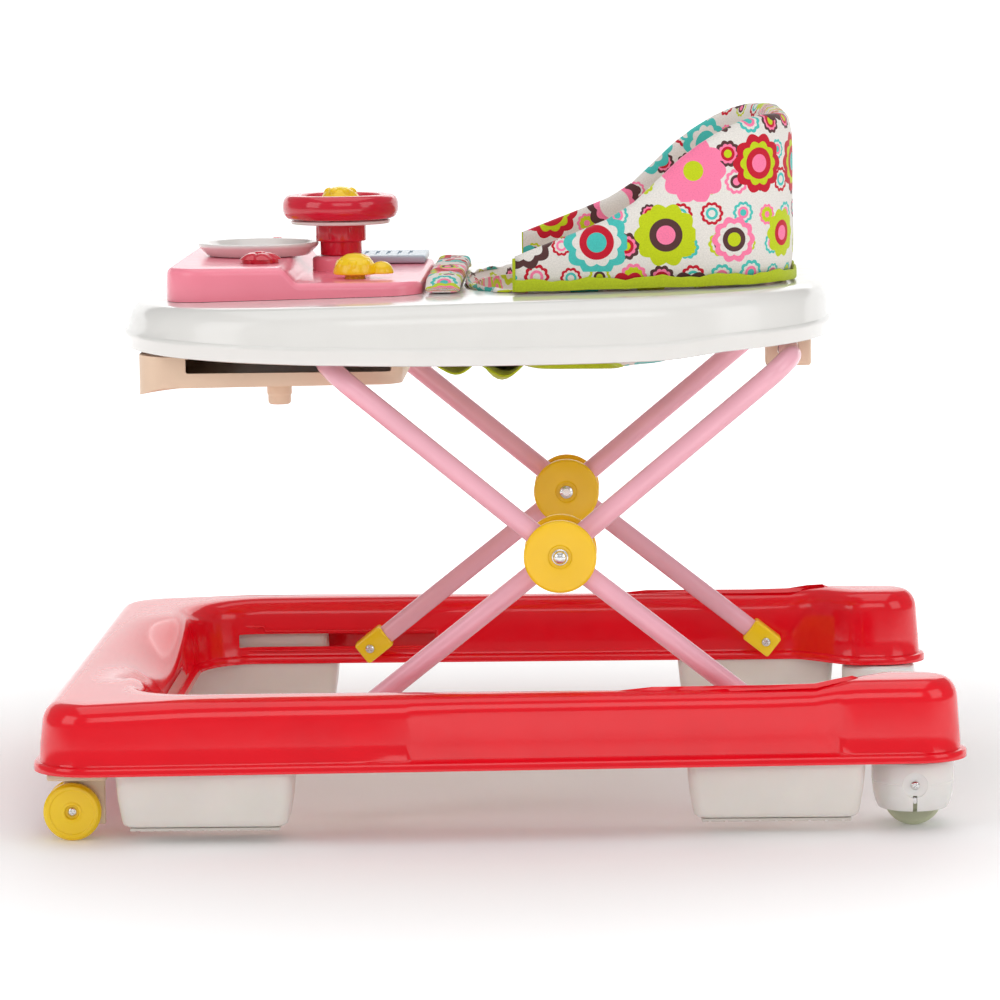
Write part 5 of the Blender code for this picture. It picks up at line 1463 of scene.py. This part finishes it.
def rim_liner():
    """A printed strip that joins the foot of the back to the sling and lies over the opening's edge."""
    foot = [spot + inward * 0.0210 for spot, inward in back_frames]
    rows = []
    uv_rows = []
    travelled = 0.0
    edge = [Vector(point) for point in squarish(SEAT_MIDDLE, SEAT_HALF_X, SEAT_HALF_Y, 3.0, 144)]
    for i, rim in enumerate(edge):
        along = (edge[(i + 1) % 144] - edge[i - 1]).normalized()
        outward = Vector((along.y, -along.x))
        if i:
            travelled += (rim - edge[i - 1]).length
        if rim.x > BACK_FRONT + 0.004:
            start = min((intersect_point_line(rim, a, b) + (a, b)
                         for a, b in zip(foot, foot[1:])),
                        key=lambda hit: (hit[2].lerp(hit[3], min(1.0, max(0.0, hit[1]))) - rim).length)
            start = start[2].lerp(start[3], min(1.0, max(0.0, start[1]))).xy
            rise = 0.0045
        else:
            start = rim + outward * (0.0005 + 0.0125 * ease((abs(rim.y) - 0.118) / 0.012))
            rise = 0.0012
        top = tray_top(rim.x)
        near = rim if (start - rim).dot(outward) > 0.001 else start
        inner = near - outward * 0.003
        low = rim - outward * 0.0062
        ruck = 0.0007 * math.sin(travelled * 210) + 0.0005 * math.sin(travelled * 95)
        row = [Vector((*start, top + rise)), Vector((*start.lerp(near, 0.5), top + 0.0030 + ruck)),
               Vector((*near, top + 0.0018)), Vector((*inner, top - 0.0022)),
               Vector((*inner.lerp(low, 0.6), top - 0.0060)), Vector((*low, 0.3915))]
        lengths = [0.0]
        for a, b in zip(row, row[1:]):
            lengths.append(lengths[-1] + (b - a).length)
        rows.append(row)
        uv_rows.append([(travelled + 2.0, 0.3 + length) for length in lengths])
    return walled(cloth_mesh("printed_rim_liner", rows, uv_rows, closed_rows=True), 0.0010, even=False)


liner = rim_liner()
shown(liner, "printed_rim_liner", PRINT, "tray", crease=80)


def apron_fold(name, front, rear, half, sag, height, phase):
    """One slack fold of lime binding that droops under the tray between the pan and the sling."""
    rows = []
    uv_rows = []
    across = 48
    down = 15
    for i in range(across + 1):
        y = -half + 2 * half * i / across
        wave = math.sin(3.2 * y / half + phase) + 0.5 * math.sin(7.7 * y / half + 2 * phase)
        row = []
        uvs = []
        for k in range(down + 1):
            t = k / down
            droop = sag * math.sin(math.pi * t) ** 0.8 * (1 + 0.22 * wave)
            row.append(Vector((front + (rear - front) * t, y,
                               height - droop + 0.0015 * math.sin(9 * t + wave))))
            uvs.append((y, t * abs(rear - front)))
        rows.append(row)
        uv_rows.append(uvs)
    return walled(cloth_mesh(name, rows, uv_rows), 0.0014, even=False)


folds = [apron_fold("lime_apron_front", -0.060, -0.012, 0.128, 0.0170, 0.3520, 0.4),
         apron_fold("lime_apron_rear", -0.024, 0.026, 0.112, 0.0210, 0.3515, 2.0)]
for fold in folds:
    shown(fold, fold.name, LIME, "tray", crease=80)

low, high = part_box("seat_front_pad")


def front_pad():
    """The printed pad between the toy panel and the opening, plump in the middle, thin at its seams."""
    rows = []
    uv_rows = []
    across = 72
    around = 24
    for i in range(across + 1):
        y = low[1] + 0.0004 + (high[1] - low[1] - 0.0008) * i / across
        end = min(i, across - i)
        plump = 0.35 + 0.65 * ease(end / 6)
        ripple = 1 + 0.05 * math.sin(i * 1.35) + 0.03 * math.sin(i * 0.6)
        row = []
        uvs = []
        for k in range(around):
            angle = 2 * math.pi * k / around
            x = (low[0] + high[0]) / 2 + (high[0] - low[0]) / 2 * math.copysign(
                abs(math.cos(angle)) ** 0.5, math.cos(angle)) * (0.96 if end else 0.9)
            z = low[2] + 0.0002 + 0.0062 * (1 + math.copysign(abs(math.sin(angle)) ** 0.7,
                                                               math.sin(angle)) * 0.9) * plump * ripple
            row.append(Vector((x, y, min(z, high[2] + 0.0015))))
            uvs.append((x + 0.9, y + 0.8 + (0.4 if math.sin(angle) < -0.01 else 0.0)))
        rows.append(row)
        uv_rows.append(uvs)
    return cloth_mesh("printed_front_pad", rows, uv_rows, closed_columns=True, caps=True)


pad = front_pad()
shown(pad, "printed_front_pad", PRINT, "tray", ("seat_front_pad",), 80)
